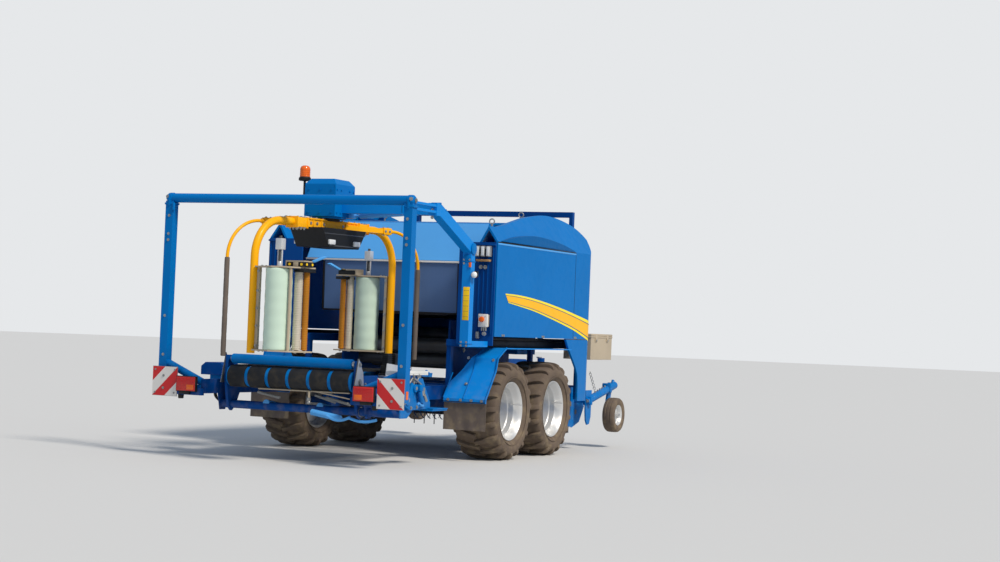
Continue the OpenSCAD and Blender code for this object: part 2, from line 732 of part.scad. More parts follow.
module gearbox() {
  color("#3a3d42") on_baler() {
    block([3760, 4040], [-130, 130], [draw_z + draw_h, draw_z + draw_h + 260]);
    bar_x(0, draw_z + draw_h + 150, 45, [4040, 4200]);
    bar_x(0, draw_z + draw_h + 150, 17.5, [4200, 4290]);
    bar_x(0, draw_z + draw_h + 150, 40, [3600, 3760]);
  }
}

module tool_box() {
  color("#b8ad9a") on_baler() {
    block([hood_front_x + 80, 4620], [-1290, -950], [1045, 1342]);
    block([hood_front_x - 250, hood_front_x + 80], [-1110, -1050], [fender_z + 10, fender_z + 60]);
  }
}

module control_box() {
  color("#d0d0c8") on_baler() block([bulk_x - 60, bulk_x], [-1300, -1210], [1380, 1500]);
}

// Belt table

module table_frame() {
  color(navy) on_floor() both_sides() {
    side_cut([drum_y + 12, drum_y + 42]) difference() {
      polygon([[-drum_gap - 60, 770], [-drum_gap - 45, stop_z + 34], [-drum_gap + 25, stop_z + 34],
        [-drum_gap + 90, 860], [drum_gap + 50, 860], [drum_gap + 70, 760], [drum_gap, 710],
        [tilt_x + 160, 690], [tilt_x + 62, tilt_z - 20], [tilt_x, tilt_z - 66], [tilt_x - 62, tilt_z - 20]]);
      translate([tilt_x, tilt_z]) circle(r = tilt_d / 2 + pin_fit);
    }
  }
  color(navy) on_floor() bar_y(0, 760, 40, [-drum_y - 12, drum_y + 12]);
}

module table_drums() {
  color(blue) on_floor() {
    for (x = [-drum_gap, drum_gap]) {
      bar_y(x, belt_z, belt_d / 2 - belt_t, [-drum_y, drum_y]);
      bar_y(x, belt_z, 25, [-drum_y - 12, drum_y + 12]);
    }
    bar_y(-drum_gap - 10, stop_z, stop_d / 2, [25 - drum_y, drum_y - 25]);
    bar_y(-drum_gap - 10, stop_z, 16, [-drum_y - 12, drum_y + 12]);
  }
}

module belt_loop(r) {
  for (x = [-drum_gap, drum_gap]) translate([x, belt_z]) circle(r = r);
  translate([-drum_gap, belt_z - r]) square([2 * drum_gap, 2 * r]);
}
module table_belts() {
  pitch = 2 * drum_y / belt_count;
  color(black) on_floor() for (i = [0:belt_count - 1]) let (y = -drum_y + (i + 0.5) * pitch)
    side_cut([y - belt_w / 2, y + belt_w / 2]) difference() {
      belt_loop(belt_d / 2);
      belt_loop(belt_d / 2 - belt_t);
    }
}

module table_guides() {
  color("#8d9093") on_floor() both_sides() side_cut([drum_y + 42, drum_y + 50])
    polygon([[-drum_gap - 110, 730], [-drum_gap - 40, stop_z + 60], [-drum_gap + 60, 890],
      [-drum_gap + 90, 730]]);
}

module film_clamps() {
  color(black) on_floor() {
    block([-200, 120], [-drum_y - 130, -drum_y - 42], [860, 885]);
    for (x = [-160, 0]) block([x, x + 90], [-drum_y - 120, -drum_y - 60], [885, 1080]);
  }
}

// Wrapping rotor

module arm_pair() { for (t = [0, 180]) rotate([0, 0, arm_turn + t]) children(); }

// Gap left where the hub's plates lie on the arms.
seat_gap = 0.3;
module rotor_hub() {
  color(black) on_floor() {
    translate([0, 0, arm_z + 38 + seat_gap])
      cylinder(r = 110, h = housing_z - pin_fit - arm_z - 38 - seat_gap);
    translate([0, 0, arm_z - 38 - seat_gap]) rotate([0, 0, arm_turn])
      side_cut([-200, 200]) polygon([[-250, -187], [250, -187], [370, 0], [-370, 0]]);
  }
}

guard_bar_r = 800;
module rotor_arms() {
  color(yellow) on_floor() {
    rotate([0, 0, arm_turn]) block([-430, 430], [-60, 60], [arm_z - 38, arm_z + 38]);
    arm_pair() {
      rotate([0, 0, -guard_turn]) block([200, guard_bar_r], [-25, 25], [arm_z - 34, arm_z + 16]);
      bar_x(0, arm_z, arm_d / 2, [420, arm_r - arm_bend]);
      translate([arm_r - arm_bend, 0, arm_z - arm_bend]) rotate([90, 0, 0])
        rotate_extrude(angle = 90) translate([arm_bend, 0]) circle(d = arm_d);
      translate([arm_r, 0, arm_low_z]) cylinder(d = arm_d, h = arm_z - arm_bend - arm_low_z);
    }
  }
}

guard_bend = 370;
guard_top_z = arm_z - 10 - guard_bend;
module safety_arms() {
  color(yellow) on_floor() arm_pair() rotate([0, 0, -guard_turn]) {
    bar_x(0, arm_z - 10, 16, [guard_bar_r, guard_r - guard_bend]);
    translate([guard_r - guard_bend, 0, guard_top_z]) rotate([90, 0, 0])
      rotate_extrude(angle = 90) translate([guard_bend, 0]) circle(r = 16);
  }
}
module arm_sleeves() {
  color("#6d6258") on_floor() arm_pair() rotate([0, 0, -guard_turn])
    translate([guard_r, 0, arm_low_z - 40]) cylinder(d = guard_d, h = guard_top_z - arm_low_z + 40);
}

film_low_z = arm_low_z + 50;
module dispensers() {
  color("#b9b3a6") on_floor() arm_pair() translate([arm_r, 0, 0]) {
    for (z = [film_low_z - 24, film_low_z + film_h + 10])
      translate([0, 0, z]) linear_extrude(14) polygon([[-38, 38], [38, 38], [90, film_s - 100],
        [roll_r + 2, film_s], [90, film_s + 100], [45, film_s + 170], [-215, 560], [-215, 440],
        [-140, film_s]]);
    block([-30, 0], [arm_d / 2 + 2, arm_d / 2 + 32], [film_low_z - 10, film_low_z + film_h + 10]);
    translate([22, film_s + 150, film_low_z - 10]) cylinder(r = 14, h = film_h + 20);
    translate([-190, film_s + 20, film_low_z + film_h + 24]) cube([130, 220, 60]);
  }
}

module film_rolls() {
  color("#cfe0cf") on_floor() arm_pair() translate([arm_r, film_s, film_low_z])
    translate([0, 0, -10]) cylinder(d = film_d, h = film_h + 20);
}

module stretch_rollers() {
  color("#d6d8d4") on_floor() arm_pair() translate([arm_r, 0, film_low_z - 10])
    for (p = [[-110, film_s + 147, 42], [-176, film_s + 188, 32]])
      translate([p[0], p[1], 0]) cylinder(r = p[2], h = film_h + 20);
}

// Pick-up

module pickup_frame() {
  color(blue) on_baler() {
    both_sides() side_cut([pick_y, pick_y + 12]) difference() {
      polygon([[pick_x - 50, pick_z + 50], [pick_x + 300, pick_z + 170], [reel_x + 120, reel_z + 260],
        [reel_x + 260, reel_z + 60], [reel_x + 120, reel_z - 120], [reel_x - 100, reel_z - 180],
        [pick_x + 160, reel_z - 120], [pick_x - 50, pick_z - 50]]);
      translate([reel_x, reel_z]) circle(r = 30 + pin_fit);
    }
    bar_y(pick_x, pick_z, 30, [-pick_y, pick_y]);
    block([pick_x + 180, pick_x + 240], [-pick_y, pick_y], [pick_z + 60, pick_z + 120]);
  }
}

gauge_arm_y = 1250;
module gauge_arms() {
  color(blue) on_baler() both_sides() {
    tube_to([reel_x - 90, gauge_arm_y, 557], [gauge_x + 140, gauge_arm_y, 740], gauge_arm_d / 2);
    bar_y(reel_x - 30, 570, 32, [pick_y + 12, gauge_arm_y]);
    bar_y(reel_x + 130, 600, 32, [pick_y + 12, gauge_arm_y]);
    side_cut([gauge_arm_y - 8, gauge_arm_y + 8]) polygon([[reel_x - 115, 690], [reel_x + 70, 690],
      [reel_x + 60, 380], [reel_x + 20, 300], [reel_x - 40, 290], [reel_x - 85, 340], [reel_x - 105, 450]]);
    side_cut([1196, 1222]) polygon([[gauge_x + 60, 770], [gauge_x + 160, 770],
      [gauge_x + 45, gauge_z - 45], [gauge_x - 45, gauge_z - 45]]);
    bar_y(gauge_x, gauge_z, 20, [1196, gauge_y + 20]);
  }
}

module pickup_reel() {
  color("#8b8f94") on_baler() {
    bar_y(reel_x, reel_z, 30, [-pick_y - 12, pick_y + 12]);
    bar_y(reel_x, reel_z, 110, [-pick_y + 8, pick_y - 8]);
    for (a = [0:90:270], i = [0:15])
      translate([reel_x, -pick_y + 75 + i * (2 * pick_y - 150) / 15, reel_z]) rotate([0, a, 0])
        translate([-5, -4, 100]) cube([10, 8, reel_r - 100]);
  }
}

module crop_guard() {
  color(navy) on_baler() {
    bar_y(reel_x + 240, reel_z + 255, 45, [-pick_y + 16, pick_y - 16]);
    both_sides() side_cut([pick_y - 16, pick_y]) polygon([
      [reel_x + 40, reel_z + 240], [reel_x + 60, reel_z + 190],
      [reel_x + 260, reel_z + 220], [reel_x + 260, reel_z + 285], [reel_x + 220, reel_z + 285]]);
  }
}

module gauge_wheel() {
  translate([gauge_x, 0, gauge_z]) rotate([-90, 0, 0]) difference() {
    translate([0, 0, gauge_y - gauge_w / 2]) union() {
      translate([0, 0, 20]) cylinder(d = gauge_d, h = gauge_w - 40);
      cylinder(d1 = gauge_d - 60, d2 = gauge_d, h = 20);
      translate([0, 0, gauge_w - 20]) cylinder(d1 = gauge_d, d2 = gauge_d - 60, h = 20);
    }
    translate([0, 0, gauge_y - gauge_w]) cylinder(r = 20 + pin_fit, h = 2 * gauge_w);
  }
}
module gauge_wheel_left() { color("#5d5148") on_baler() gauge_wheel(); }
module gauge_wheel_right() { color("#5d5148") on_baler() mirror([0, 1, 0]) gauge_wheel(); }

module wheel_tyre(x, side) { color("#3b3532") on_baler() translate([x, side * wheel_y, axle_z]) tyre(); }
module wheel_rim(x, side) {
  color(silver) on_baler() translate([x, side * wheel_y, axle_z]) rotate([0, 0, side > 0 ? 0 : 180]) rim();
}
module tyre_rear_right() { wheel_tyre(rear_axle_x, -1); }
module tyre_rear_left() { wheel_tyre(rear_axle_x, 1); }
module tyre_front_right() { wheel_tyre(front_axle_x, -1); }
module tyre_front_left() { wheel_tyre(front_axle_x, 1); }
module rim_rear_right() { wheel_rim(rear_axle_x, -1); }
module rim_rear_left() { wheel_rim(rear_axle_x, 1); }
module rim_front_right() { wheel_rim(front_axle_x, -1); }
module rim_front_left() { wheel_rim(front_axle_x, 1); }

main_frame();
bogies();
drawbar();
hitch();
jack_tube();
jack_leg();
chamber_walls();
chamber_skin();
chamber_rollers();
net_box();
top_rails();
side_sills();
front_legs();
fenders();
flaps();
gantry();
hub_housing();
beacon();
portal();
light_bar();
warning_plates();
tail_lamps();
side_brackets();
drive_cover();
tray();
hoses();
gearbox();
tool_box();
control_box();
table_frame();
table_drums();
table_belts();
table_guides();
film_clamps();
rotor_hub();
rotor_arms();
dispensers();
film_rolls();
stretch_rollers();
safety_arms();
arm_sleeves();
tailgate_shell();
tailgate_rollers();
hood_right();
hood_left();
pickup_frame();
gauge_arms();
pickup_reel();
crop_guard();
gauge_wheel_right();
gauge_wheel_left();
tyre_rear_right();
rim_rear_right();
tyre_rear_left();
rim_rear_left();
tyre_front_right();
rim_front_right();
tyre_front_left();
rim_front_left();
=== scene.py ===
"""Looks of a towed round baler with a bale wrapper behind it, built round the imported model."""

import json
import math

import bmesh
import bpy
from mathutils import Matrix, Vector


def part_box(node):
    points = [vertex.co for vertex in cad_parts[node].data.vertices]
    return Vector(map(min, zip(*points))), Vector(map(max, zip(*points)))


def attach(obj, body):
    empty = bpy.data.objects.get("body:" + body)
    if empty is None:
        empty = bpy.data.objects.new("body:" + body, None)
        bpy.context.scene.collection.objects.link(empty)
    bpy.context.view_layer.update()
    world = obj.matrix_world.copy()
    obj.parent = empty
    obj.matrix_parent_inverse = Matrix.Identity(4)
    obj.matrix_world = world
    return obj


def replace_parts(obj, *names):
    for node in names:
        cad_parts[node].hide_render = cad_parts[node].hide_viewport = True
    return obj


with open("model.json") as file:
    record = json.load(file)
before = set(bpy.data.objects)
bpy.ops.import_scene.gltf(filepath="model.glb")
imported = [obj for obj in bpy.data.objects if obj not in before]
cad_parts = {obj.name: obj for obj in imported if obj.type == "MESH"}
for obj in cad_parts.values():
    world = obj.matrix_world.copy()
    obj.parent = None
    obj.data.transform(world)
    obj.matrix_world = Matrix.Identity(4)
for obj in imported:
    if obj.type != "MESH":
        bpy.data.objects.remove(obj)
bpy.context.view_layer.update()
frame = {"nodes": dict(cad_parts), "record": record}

# Every place below is in metres, with X measured from the rotor's axis, Y to the left and Z up.
JOINTS = {j["name"]: j for j in frame["record"]["behaviour"]["joints"]}
ROTOR_X = JOINTS["rotor_turn"]["pos_m"][0]
BODY_OF = {node: body for body, nodes in frame["record"]["behaviour"]["bodies"].items() for node in nodes}
SIDES = ((-1, "right"), (1, "left"))


def axis_of(joint):
    """A point on a joint's axis, with X measured from the rotor's axis."""
    x, y, z = JOINTS[joint]["pos_m"]
    return Vector((x - ROTOR_X, y, z))


def box_of(node):
    """Lowest and highest corner of a CAD node, with X measured from the rotor's axis."""
    low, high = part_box(node)
    shift = Vector((ROTOR_X, 0, 0))
    return Vector(low) - shift, Vector(high) - shift


# Camera

IMAGE_W = 1000
IMAGE_H = 562
FOCAL_PX = 1880
SENSOR_MM = 36
FAR_M = 400
EYE = (-16.307, -9.298, 1.38)
SIGHT_RIGHT = (0.41206, -0.91024, 0.04095)
SIGHT_DOWN = (0.03922, -0.02719, -0.99886)
SIGHT_AHEAD = (0.91031, 0.4132, 0.0245)


def make_camera():
    """The photograph's viewpoint, turn and lens."""
    data = bpy.data.cameras.new("view")
    data.sensor_width = SENSOR_MM
    data.lens = FOCAL_PX / IMAGE_W * SENSOR_MM
    data.clip_end = FAR_M
    camera = bpy.data.objects.new("view", data)
    columns = (Vector(SIGHT_RIGHT), -Vector(SIGHT_DOWN), -Vector(SIGHT_AHEAD))
    turn = Matrix(columns).transposed().to_4x4()
    camera.matrix_world = Matrix.Translation(Vector(EYE) + Vector((ROTOR_X, 0, 0))) @ turn
    bpy.context.scene.collection.objects.link(camera)
    bpy.context.scene.camera = camera


make_camera()


def seen(u, v, axis, value):
    """The point where the sight line of the photo's pixel (u, v) meets the plane axis = value."""
    ray = (Vector(SIGHT_AHEAD) + Vector(SIGHT_RIGHT) * ((u - IMAGE_W / 2) / FOCAL_PX)
           + Vector(SIGHT_DOWN) * ((v - IMAGE_H / 2) / FOCAL_PX))
    return Vector(EYE) + ray * ((value - EYE[axis]) / ray[axis])


# Materials

def srgb(code, alpha=1.0):
    """Linear colour of an sRGB hex value."""
    parts = [int(code[i:i + 2], 16) / 255 for i in (1, 3, 5)]
    return tuple(c / 12.92 if c <= 0.04045 else ((c + 0.055) / 1.055) ** 2.4 for c in parts) + (alpha,)


def add(tree, kind, inputs=None, **settings):
    """Adds a node with its settings, and sets or links its inputs."""
    node = tree.nodes.new(kind)
    for name, value in settings.items():
        setattr(node, name, value)
    for name, value in (inputs or {}).items():
        if isinstance(value, bpy.types.NodeSocket):
            tree.links.new(value, node.inputs[name])
        else:
            node.inputs[name].default_value = value
    return node


def ramp(tree, value, low, high):
    """0 below low, 1 above high, and smooth between them."""
    limits = {0: value, 1: low, 2: high}
    return add(tree, "ShaderNodeMapRange", limits, interpolation_type="SMOOTHSTEP").outputs[0]


def blend(tree, amount, a, b):
    """Colour a where amount is 0, and b where it is 1."""
    return add(tree, "ShaderNodeMix", {0: amount, 6: a, 7: b}, data_type="RGBA").outputs[2]


def noise(tree, place, size_mm, detail=3.0):
    """Noise whose blotches are about size_mm across."""
    scale = 1000 / size_mm
    return add(tree, "ShaderNodeTexNoise", {"Vector": place, "Scale": scale, "Detail": detail}).outputs[0]


def sums(tree, operation, *values):
    """One math node with its operation on the values."""
    return add(tree, "ShaderNodeMath", dict(enumerate(values)), operation=operation).outputs[0]


def start_material(name):
    """An empty material, its tree and its Object coordinates."""
    material = bpy.data.materials.new(name)
    material.use_nodes = True
    tree = material.node_tree
    tree.nodes.clear()
    place = add(tree, "ShaderNodeTexCoord").outputs["Object"]
    return material, tree, place


def end_material(tree, shader_inputs):
    """Adds the shader with its values and joins it to the output."""
    shader = add(tree, "ShaderNodeBsdfPrincipled", shader_inputs)
    add(tree, "ShaderNodeOutputMaterial", {"Surface": shader.outputs[0]})


DUST = srgb("#a39272")
# Size of the patches in which a finish's tone and its dust vary.
TONE_MM = 420
DUST_MM = 90
# Depth of the finest relief, and how much rougher a dusty spot is.
RELIEF_M = 0.001
DUST_ROUGH = 0.1
COAT_ROUGH = 0.08
# Height below which dust lies at its thickest.
DUST_FULL_Z = 0.1


def coated(name, colour, shade=0.9, rough=0.35, metal=0.0, coat=0.0, dust=0.3, dust_top=1.2, grain_mm=3,
           bump=0.05, gloss=0.3):
    """A surface in one colour that varies a little, with field dust that thins out up to dust_top metres."""
    material, tree, place = start_material(name)
    tone = blend(tree, ramp(tree, noise(tree, place, TONE_MM), 0.35, 0.65), srgb(colour),
                 tuple(c * shade for c in srgb(colour)[:3]) + (1,))
    height = add(tree, "ShaderNodeSeparateXYZ", {0: place}).outputs[2]
    film = ramp(tree, noise(tree, place, DUST_MM, 6), 0.42, 0.72)
    low = ramp(tree, height, dust_top, DUST_FULL_Z)
    amount = sums(tree, "MULTIPLY", sums(tree, "MULTIPLY", film, low), dust)
    dusty = blend(tree, amount, tone, DUST)
    fine = noise(tree, place, grain_mm, 4)
    dusty_rough = min(rough + DUST_ROUGH, 0.95)
    roughness = add(tree, "ShaderNodeMapRange", {0: film, 3: rough, 4: dusty_rough}).outputs[0]
    relief = add(tree, "ShaderNodeBump", {"Height": fine, "Strength": bump, "Distance": RELIEF_M}).outputs[0]
    end_material(tree, {"Base Color": dusty, "Roughness": roughness, "Metallic": metal, "Normal": relief,
                        "Specular IOR Level": gloss, "Coat Weight": coat, "Coat Roughness": COAT_ROUGH})
    return material


# Machine enamel, sprayed in two coats: smooth, deep in colour, with a soft sheen. The brow blue is the same
# enamel with the hood's own shade painted into it as a darker colour.
enamel_blue = coated("enamel_blue", "#0070bc", shade=0.95, rough=0.34, gloss=0.07, coat=0.02, dust=0.15)
# The same blue enamel painted lighter as light: the gantry's sunlit faces and a gloss reflection on the
# fenders.
enamel_painted_light = coated("blue_enamel_painted_light", "#0486dc", shade=0.95, rough=0.34, gloss=0.15, coat=0.03,
                       dust=0.2)
enamel_brow_painted_shade = coated("blue_enamel_brow_painted_shade", "#005a9a", shade=0.92, rough=0.4, gloss=0.1, dust=0.0)
# Deep blue enamel on the frame and rails; on the table's rims its darkness is painted shade under the bale.
enamel_deep_and_painted_shade = coated("deep_blue_enamel_and_painted_shade", "#00458e", rough=0.38, gloss=0.1, dust_top=1.0)
# The blue enamel painted duller and greyer as shade, with a painted reflection of the bale and the ground.
enamel_gate_painted_shade = coated("enamel_gate_painted_shade", "#5a78a6", shade=0.94, rough=0.4, gloss=0.15, dust=0.1)
# The blue enamel painted lighter as a highlight: the sky's reflection on the tailgate's upper panel, and
# glints on the seam lip, the cylinders, the pipes and the bars.
enamel_painted_highlight = coated("blue_enamel_painted_highlight", "#56a6ea", shade=0.96, rough=0.4, gloss=0.15, dust=0.1)
enamel_yellow = coated("enamel_yellow", "#ffb40a", shade=0.95, rough=0.34, gloss=0.2, coat=0.05, dust=0.08,
                       dust_top=1.6)
# Yellow reflecting film on the hood, in two tones.
film_gold = coated("film_gold", "#ffbe14", shade=0.97, rough=0.4, dust=0.0, bump=0.02)
film_lemon = coated("film_lemon", "#ffe828", shade=0.97, rough=0.4, dust=0.0, bump=0.02)
# Silver wheel lacquer: fine metal flake under dust.
lacquer_silver = coated("lacquer_silver", "#dcdddd", rough=0.34, metal=0.5, dust=0.2, dust_top=0.9,
                        grain_mm=1.5)
# Tyre rubber: matt, brown with dried soil.
rubber_tyre = coated("rubber_tyre", "#6b5d51", shade=0.8, rough=0.85, dust=0.35, dust_top=1.5, grain_mm=6,
                     bump=0.3)
rubber_flap = coated("rubber_flap", "#6b6059", shade=0.8, rough=0.75, dust=0.5, dust_top=0.9, grain_mm=5,
                     bump=0.15)
rubber_belt = coated("rubber_belt", "#202226", shade=0.7, rough=0.6, dust=0.25, grain_mm=4, bump=0.2)
# Hose rubber and moulded plastic: near black and finely grained.
rubber_hose = coated("rubber_hose", "#141416", shade=0.8, rough=0.5, dust=0.25, grain_mm=2, bump=0.1)
plastic_black = coated("plastic_black", "#1a1b1d", shade=0.8, rough=0.45, dust=0.1, grain_mm=1, bump=0.15)
# Zinc-plated and bare rolled steel: dull grey with cloudy spots.
zinc_steel = coated("zinc_steel", "#b4b5b3", shade=0.8, rough=0.36, metal=0.8, dust=0.2, grain_mm=4, bump=0.1)
bare_steel = coated("bare_steel", "#6d6f72", shade=0.6, rough=0.45, metal=0.8, dust=0.4, grain_mm=8, bump=0.1)
# Foam and cloth sleeve over the safety arms.
sleeve_grey = coated("sleeve_grey", "#6e645c", shade=0.8, rough=0.8, dust=0.2, bump=0.3)
# Powder coat on the boxes, the film dispensers and the tray: matt and slightly grained.
powder_beige = coated("powder_beige", "#b9ab94", rough=0.5, dust=0.15, grain_mm=1.5, bump=0.1)
powder_white = coated("powder_white", "#e4e4e0", rough=0.45, dust=0.2, grain_mm=1.5, bump=0.1)
# Waxed card of the film rolls' cores, and the yellow rubber on a stretching roller, painted amber as shade.
card_brown = coated("card_brown", "#a9855a", shade=0.85, rough=0.8, dust=0.0, grain_mm=4, bump=0.2)
rubber_yellow_painted_shade = coated("rubber_yellow_painted_shade", "#b9791c", shade=0.85, rough=0.5, dust=0.0, bump=0.1)
# Stretch film on its roll: many glossy layers of pale green plastic.
film_green = coated("film_green", "#cfe6d3", shade=0.92, rough=0.3, coat=0.2, dust=0.0, grain_mm=12, bump=0.1)
# Smooth pale cover of the other stretching roller, also on the control box.
roller_cover = coated("roller_cover", "#d5cdbb", shade=0.92, metal=0.3, dust=0.05)
# Lamp lenses: smooth coloured plastic with a clear reflection.
lens_amber = coated("lens_amber", "#f06a10", rough=0.15, coat=0.5, dust=0.0, grain_mm=8, bump=0.1)
lens_red = coated("lens_red", "#d3201c", rough=0.18, coat=0.5, dust=0.1, grain_mm=8, bump=0.1)
lens_clear = coated("lens_clear", "#e9ecec", shade=0.85, rough=0.1, coat=0.6, dust=0.0, grain_mm=5, bump=0.2)
# Blank stickers.
label_yellow = coated("label_yellow", "#ffd01c", shade=0.97, rough=0.45, dust=0.0, bump=0.02)

# Sum of the distance from the centre line and the height at a plate's outer top corner.
PLATE_CORNER = 1.385 + 0.862
# Width of one band, measured as that sum.
BAND_STEP = 0.141


def stripe_sheet():
    """Reflecting sheet of the warning plates: red and white bands at 45 degrees, mirrored left and right."""
    material, tree, place = start_material("sheet_red_white")
    parts = add(tree, "ShaderNodeSeparateXYZ", {0: place}).outputs
    along = sums(tree, "ADD", sums(tree, "ABSOLUTE", parts[1]), parts[2])
    band = sums(tree, "DIVIDE", sums(tree, "SUBTRACT", PLATE_CORNER, along), 2 * BAND_STEP)
    red = sums(tree, "LESS_THAN", sums(tree, "FRACT", band), 0.5)
    colour = blend(tree, red, srgb("#dedbd6"), srgb("#c8181c"))
    fine = noise(tree, place, 4)
    relief = add(tree, "ShaderNodeBump", {"Height": fine, "Strength": 0.05, "Distance": RELIEF_M}).outputs[0]
    end_material(tree, {"Base Color": colour, "Roughness": 0.35, "Normal": relief})
    return material


sheet_red_white = stripe_sheet()


# Mesh work

# Angle between two faces above which their edge stays sharp.
SHARP_DEG = 35


def place_mesh(name, bm, material, body, smooth=SHARP_DEG):
    """Makes the bmesh an object on that body, with its X moved to the frame's own origin."""
    bmesh.ops.translate(bm, verts=bm.verts, vec=(ROTOR_X, 0, 0))
    mesh = bpy.data.meshes.new(name)
    bm.to_mesh(mesh)
    bm.free()
    mesh.materials.append(material)
    mesh.shade_smooth()
    mesh.set_sharp_from_angle(angle=math.radians(smooth))
    piece = bpy.data.objects.new(name, mesh)
    bpy.context.scene.collection.objects.link(piece)
    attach(piece, body)
    return piece


def make(name, draw, material, body, *values, smooth=SHARP_DEG):
    """A piece that its draw function models from the values, with its faces turned outwards."""
    bm = bmesh.new()
    draw(bm, *values)
    bmesh.ops.recalc_face_normals(bm, faces=bm.faces)
    return place_mesh(name, bm, material, body, smooth)


EDGE_ROUND = 0.004
EDGE_DEG = 32
FLAT_DEG = 0.6


def soften(node, material, width):
    """A copy of a CAD node with rounded edges, which stands for the node."""
    bm = bmesh.new()
    bm.from_mesh(frame["nodes"][node].data)
    bmesh.ops.remove_doubles(bm, verts=bm.verts, dist=1e-5)
    bmesh.ops.dissolve_limit(bm, angle_limit=math.radians(FLAT_DEG), verts=bm.verts, edges=bm.edges,
                             use_dissolve_boundaries=False)
    edges = [e for e in bm.edges
             if len(e.link_faces) == 2 and e.calc_face_angle(0) > math.radians(EDGE_DEG)]
    bmesh.ops.bevel(bm, geom=edges, affect="EDGES", offset=width, segments=2, profile=0.5, material=-1,
                    clamp_overlap=True)
    bmesh.ops.translate(bm, verts=bm.verts, vec=(-ROTOR_X, 0, 0))
    piece = place_mesh(node + "_shape", bm, material, BODY_OF[node], smooth=EDGE_DEG)
    weighted = piece.modifiers.new("even_shading", "WEIGHTED_NORMAL")
    weighted.keep_sharp = True
    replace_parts(piece, node)


def paint(material, *nodes):
    """Gives CAD nodes that keep their shape their finish."""
    for node in nodes:
        data = frame["nodes"][node].data
        data.materials.clear()
        data.materials.append(material)


# Hoses of the table's drive: three free loops under the box at the left, each about 0.3 m long

HOSE_D = 0.02
HOSE_Y = 0.93
HOSE_Z = 0.62
# Place along the machine and radius of each loop, as in the CAD.
HOSE_LOOPS = [(-0.37, 0.08), (-0.335, 0.095), (-0.3, 0.11)]
HOSE_STEPS = 24


def curve_piece(name, line, radius, body, material):
    """One open curve of that radius through the points, on that body."""
    data = bpy.data.curves.new(name, "CURVE")
    data.dimensions = "3D"
    data.bevel_depth = radius
    data.bevel_resolution = 4
    data.use_fill_caps = True
    spline = data.splines.new("POLY")
    spline.points.add(len(line) - 1)
    for place, p in zip(spline.points, line):
        place.co = (p.x + ROTOR_X, p.y, p.z, 1)
    spline.use_smooth = True
    data.materials.append(material)
    piece = bpy.data.objects.new(name, data)
    bpy.context.scene.collection.objects.link(piece)
    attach(piece, body)
    return piece


def make_hoses():
    """The three loops."""
    for i, (x, r) in enumerate(HOSE_LOOPS):
        turns = [math.pi * k / HOSE_STEPS for k in range(HOSE_STEPS + 1)]
        line = [Vector((x, HOSE_Y + r * math.cos(a), HOSE_Z - r * math.sin(a))) for a in turns]
        piece = curve_piece(f"drive_hose_{i}", line, HOSE_D / 2, "chassis", rubber_hose)
        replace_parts(piece, "hoses")


make_hoses()


# CAD nodes: those with softened edges, then those that keep their shape

THIN_ROUND = 0.002
SOFTENED = (
    # Fenders and gantry take the blue enamel with painted light.
    (enamel_painted_light, EDGE_ROUND, ("fenders", "gantry")),
    (enamel_blue, EDGE_ROUND, ("net_box", "front_legs", "hub_housing", "portal", "side_brackets",
                               "tailgate_shell", "hood_right", "hood_left", "pickup_frame", "gauge_arms",
                               "table_drums")),
    (enamel_deep_and_painted_shade, EDGE_ROUND, ("main_frame", "bogies", "drawbar", "hitch", "jack_tube", "top_rails",
                               "side_sills", "light_bar", "drive_cover", "table_frame", "crop_guard")),
    (enamel_yellow, EDGE_ROUND, ("rotor_arms",)),
    (plastic_black, EDGE_ROUND, ("rotor_hub", "film_clamps")),
    (powder_beige, THIN_ROUND, ("dispensers",)),
    (powder_beige, EDGE_ROUND, ("tool_box",)),
    (powder_white, EDGE_ROUND, ("tray",)),
)
for material, width, nodes in SOFTENED:
    for node in nodes:
        soften(node, material, width)
paint(enamel_deep_and_painted_shade, "chamber_walls", "chamber_skin")
paint(bare_steel, "jack_leg", "chamber_rollers", "tailgate_rollers", "table_guides", "pickup_reel", "gearbox")
paint(rubber_belt, "table_belts")
paint(enamel_yellow, "safety_arms")
paint(roller_cover, "control_box")
paint(lens_red, "tail_lamps")
paint(sheet_red_white, "warning_plates")


# Shapes

def round_edges(bm, edges, width):
    """Bevels the edges in two steps; returns the new faces."""
    return bmesh.ops.bevel(bm, geom=edges, affect="EDGES", offset=width, segments=2, profile=0.5,
                           material=-1)["faces"]


def brick(bm, low, high, round_off=0.003):
    """A block between two corners with rounded edges."""
    low, high = Vector(low), Vector(high)
    scale = Matrix.Diagonal((*(high - low), 1))
    made = bmesh.ops.create_cube(bm, size=1, matrix=Matrix.Translation((low + high) / 2) @ scale)["verts"]
    round_edges(bm, list({e for v in made for e in v.link_edges}), round_off)


def rod(bm, a, b, r, r_end=None, sides=24, round_off=0.0):
    """A round bar from a to b, which may taper, with its ends' rims rounded."""
    a, b = Vector(a), Vector(b)
    turn = (b - a).to_track_quat("Z", "Y").to_matrix().to_4x4()
    far_r = r if r_end is None else r_end
    made = bmesh.ops.create_cone(bm, cap_ends=True, segments=sides, radius1=r, radius2=far_r,
                                 depth=(b - a).length, matrix=Matrix.Translation((a + b) / 2) @ turn)["verts"]
    if round_off:
        edges = {e for v in made for e in v.link_edges}
        round_edges(bm, [e for e in edges if any(len(f.verts) == sides for f in e.link_faces)], round_off)


WASHER_H = 0.003


def bolt(bm, place, out, r=0.01, h=0.008):
    """A hexagon head on its washer, standing on place along out."""
    place, out = Vector(place), Vector(out).normalized()
    rod(bm, place, place + out * WASHER_H, r * 1.6, sides=20)
    rod(bm, place + out * WASHER_H, place + out * (WASHER_H + h), r, r * 0.94, sides=6)


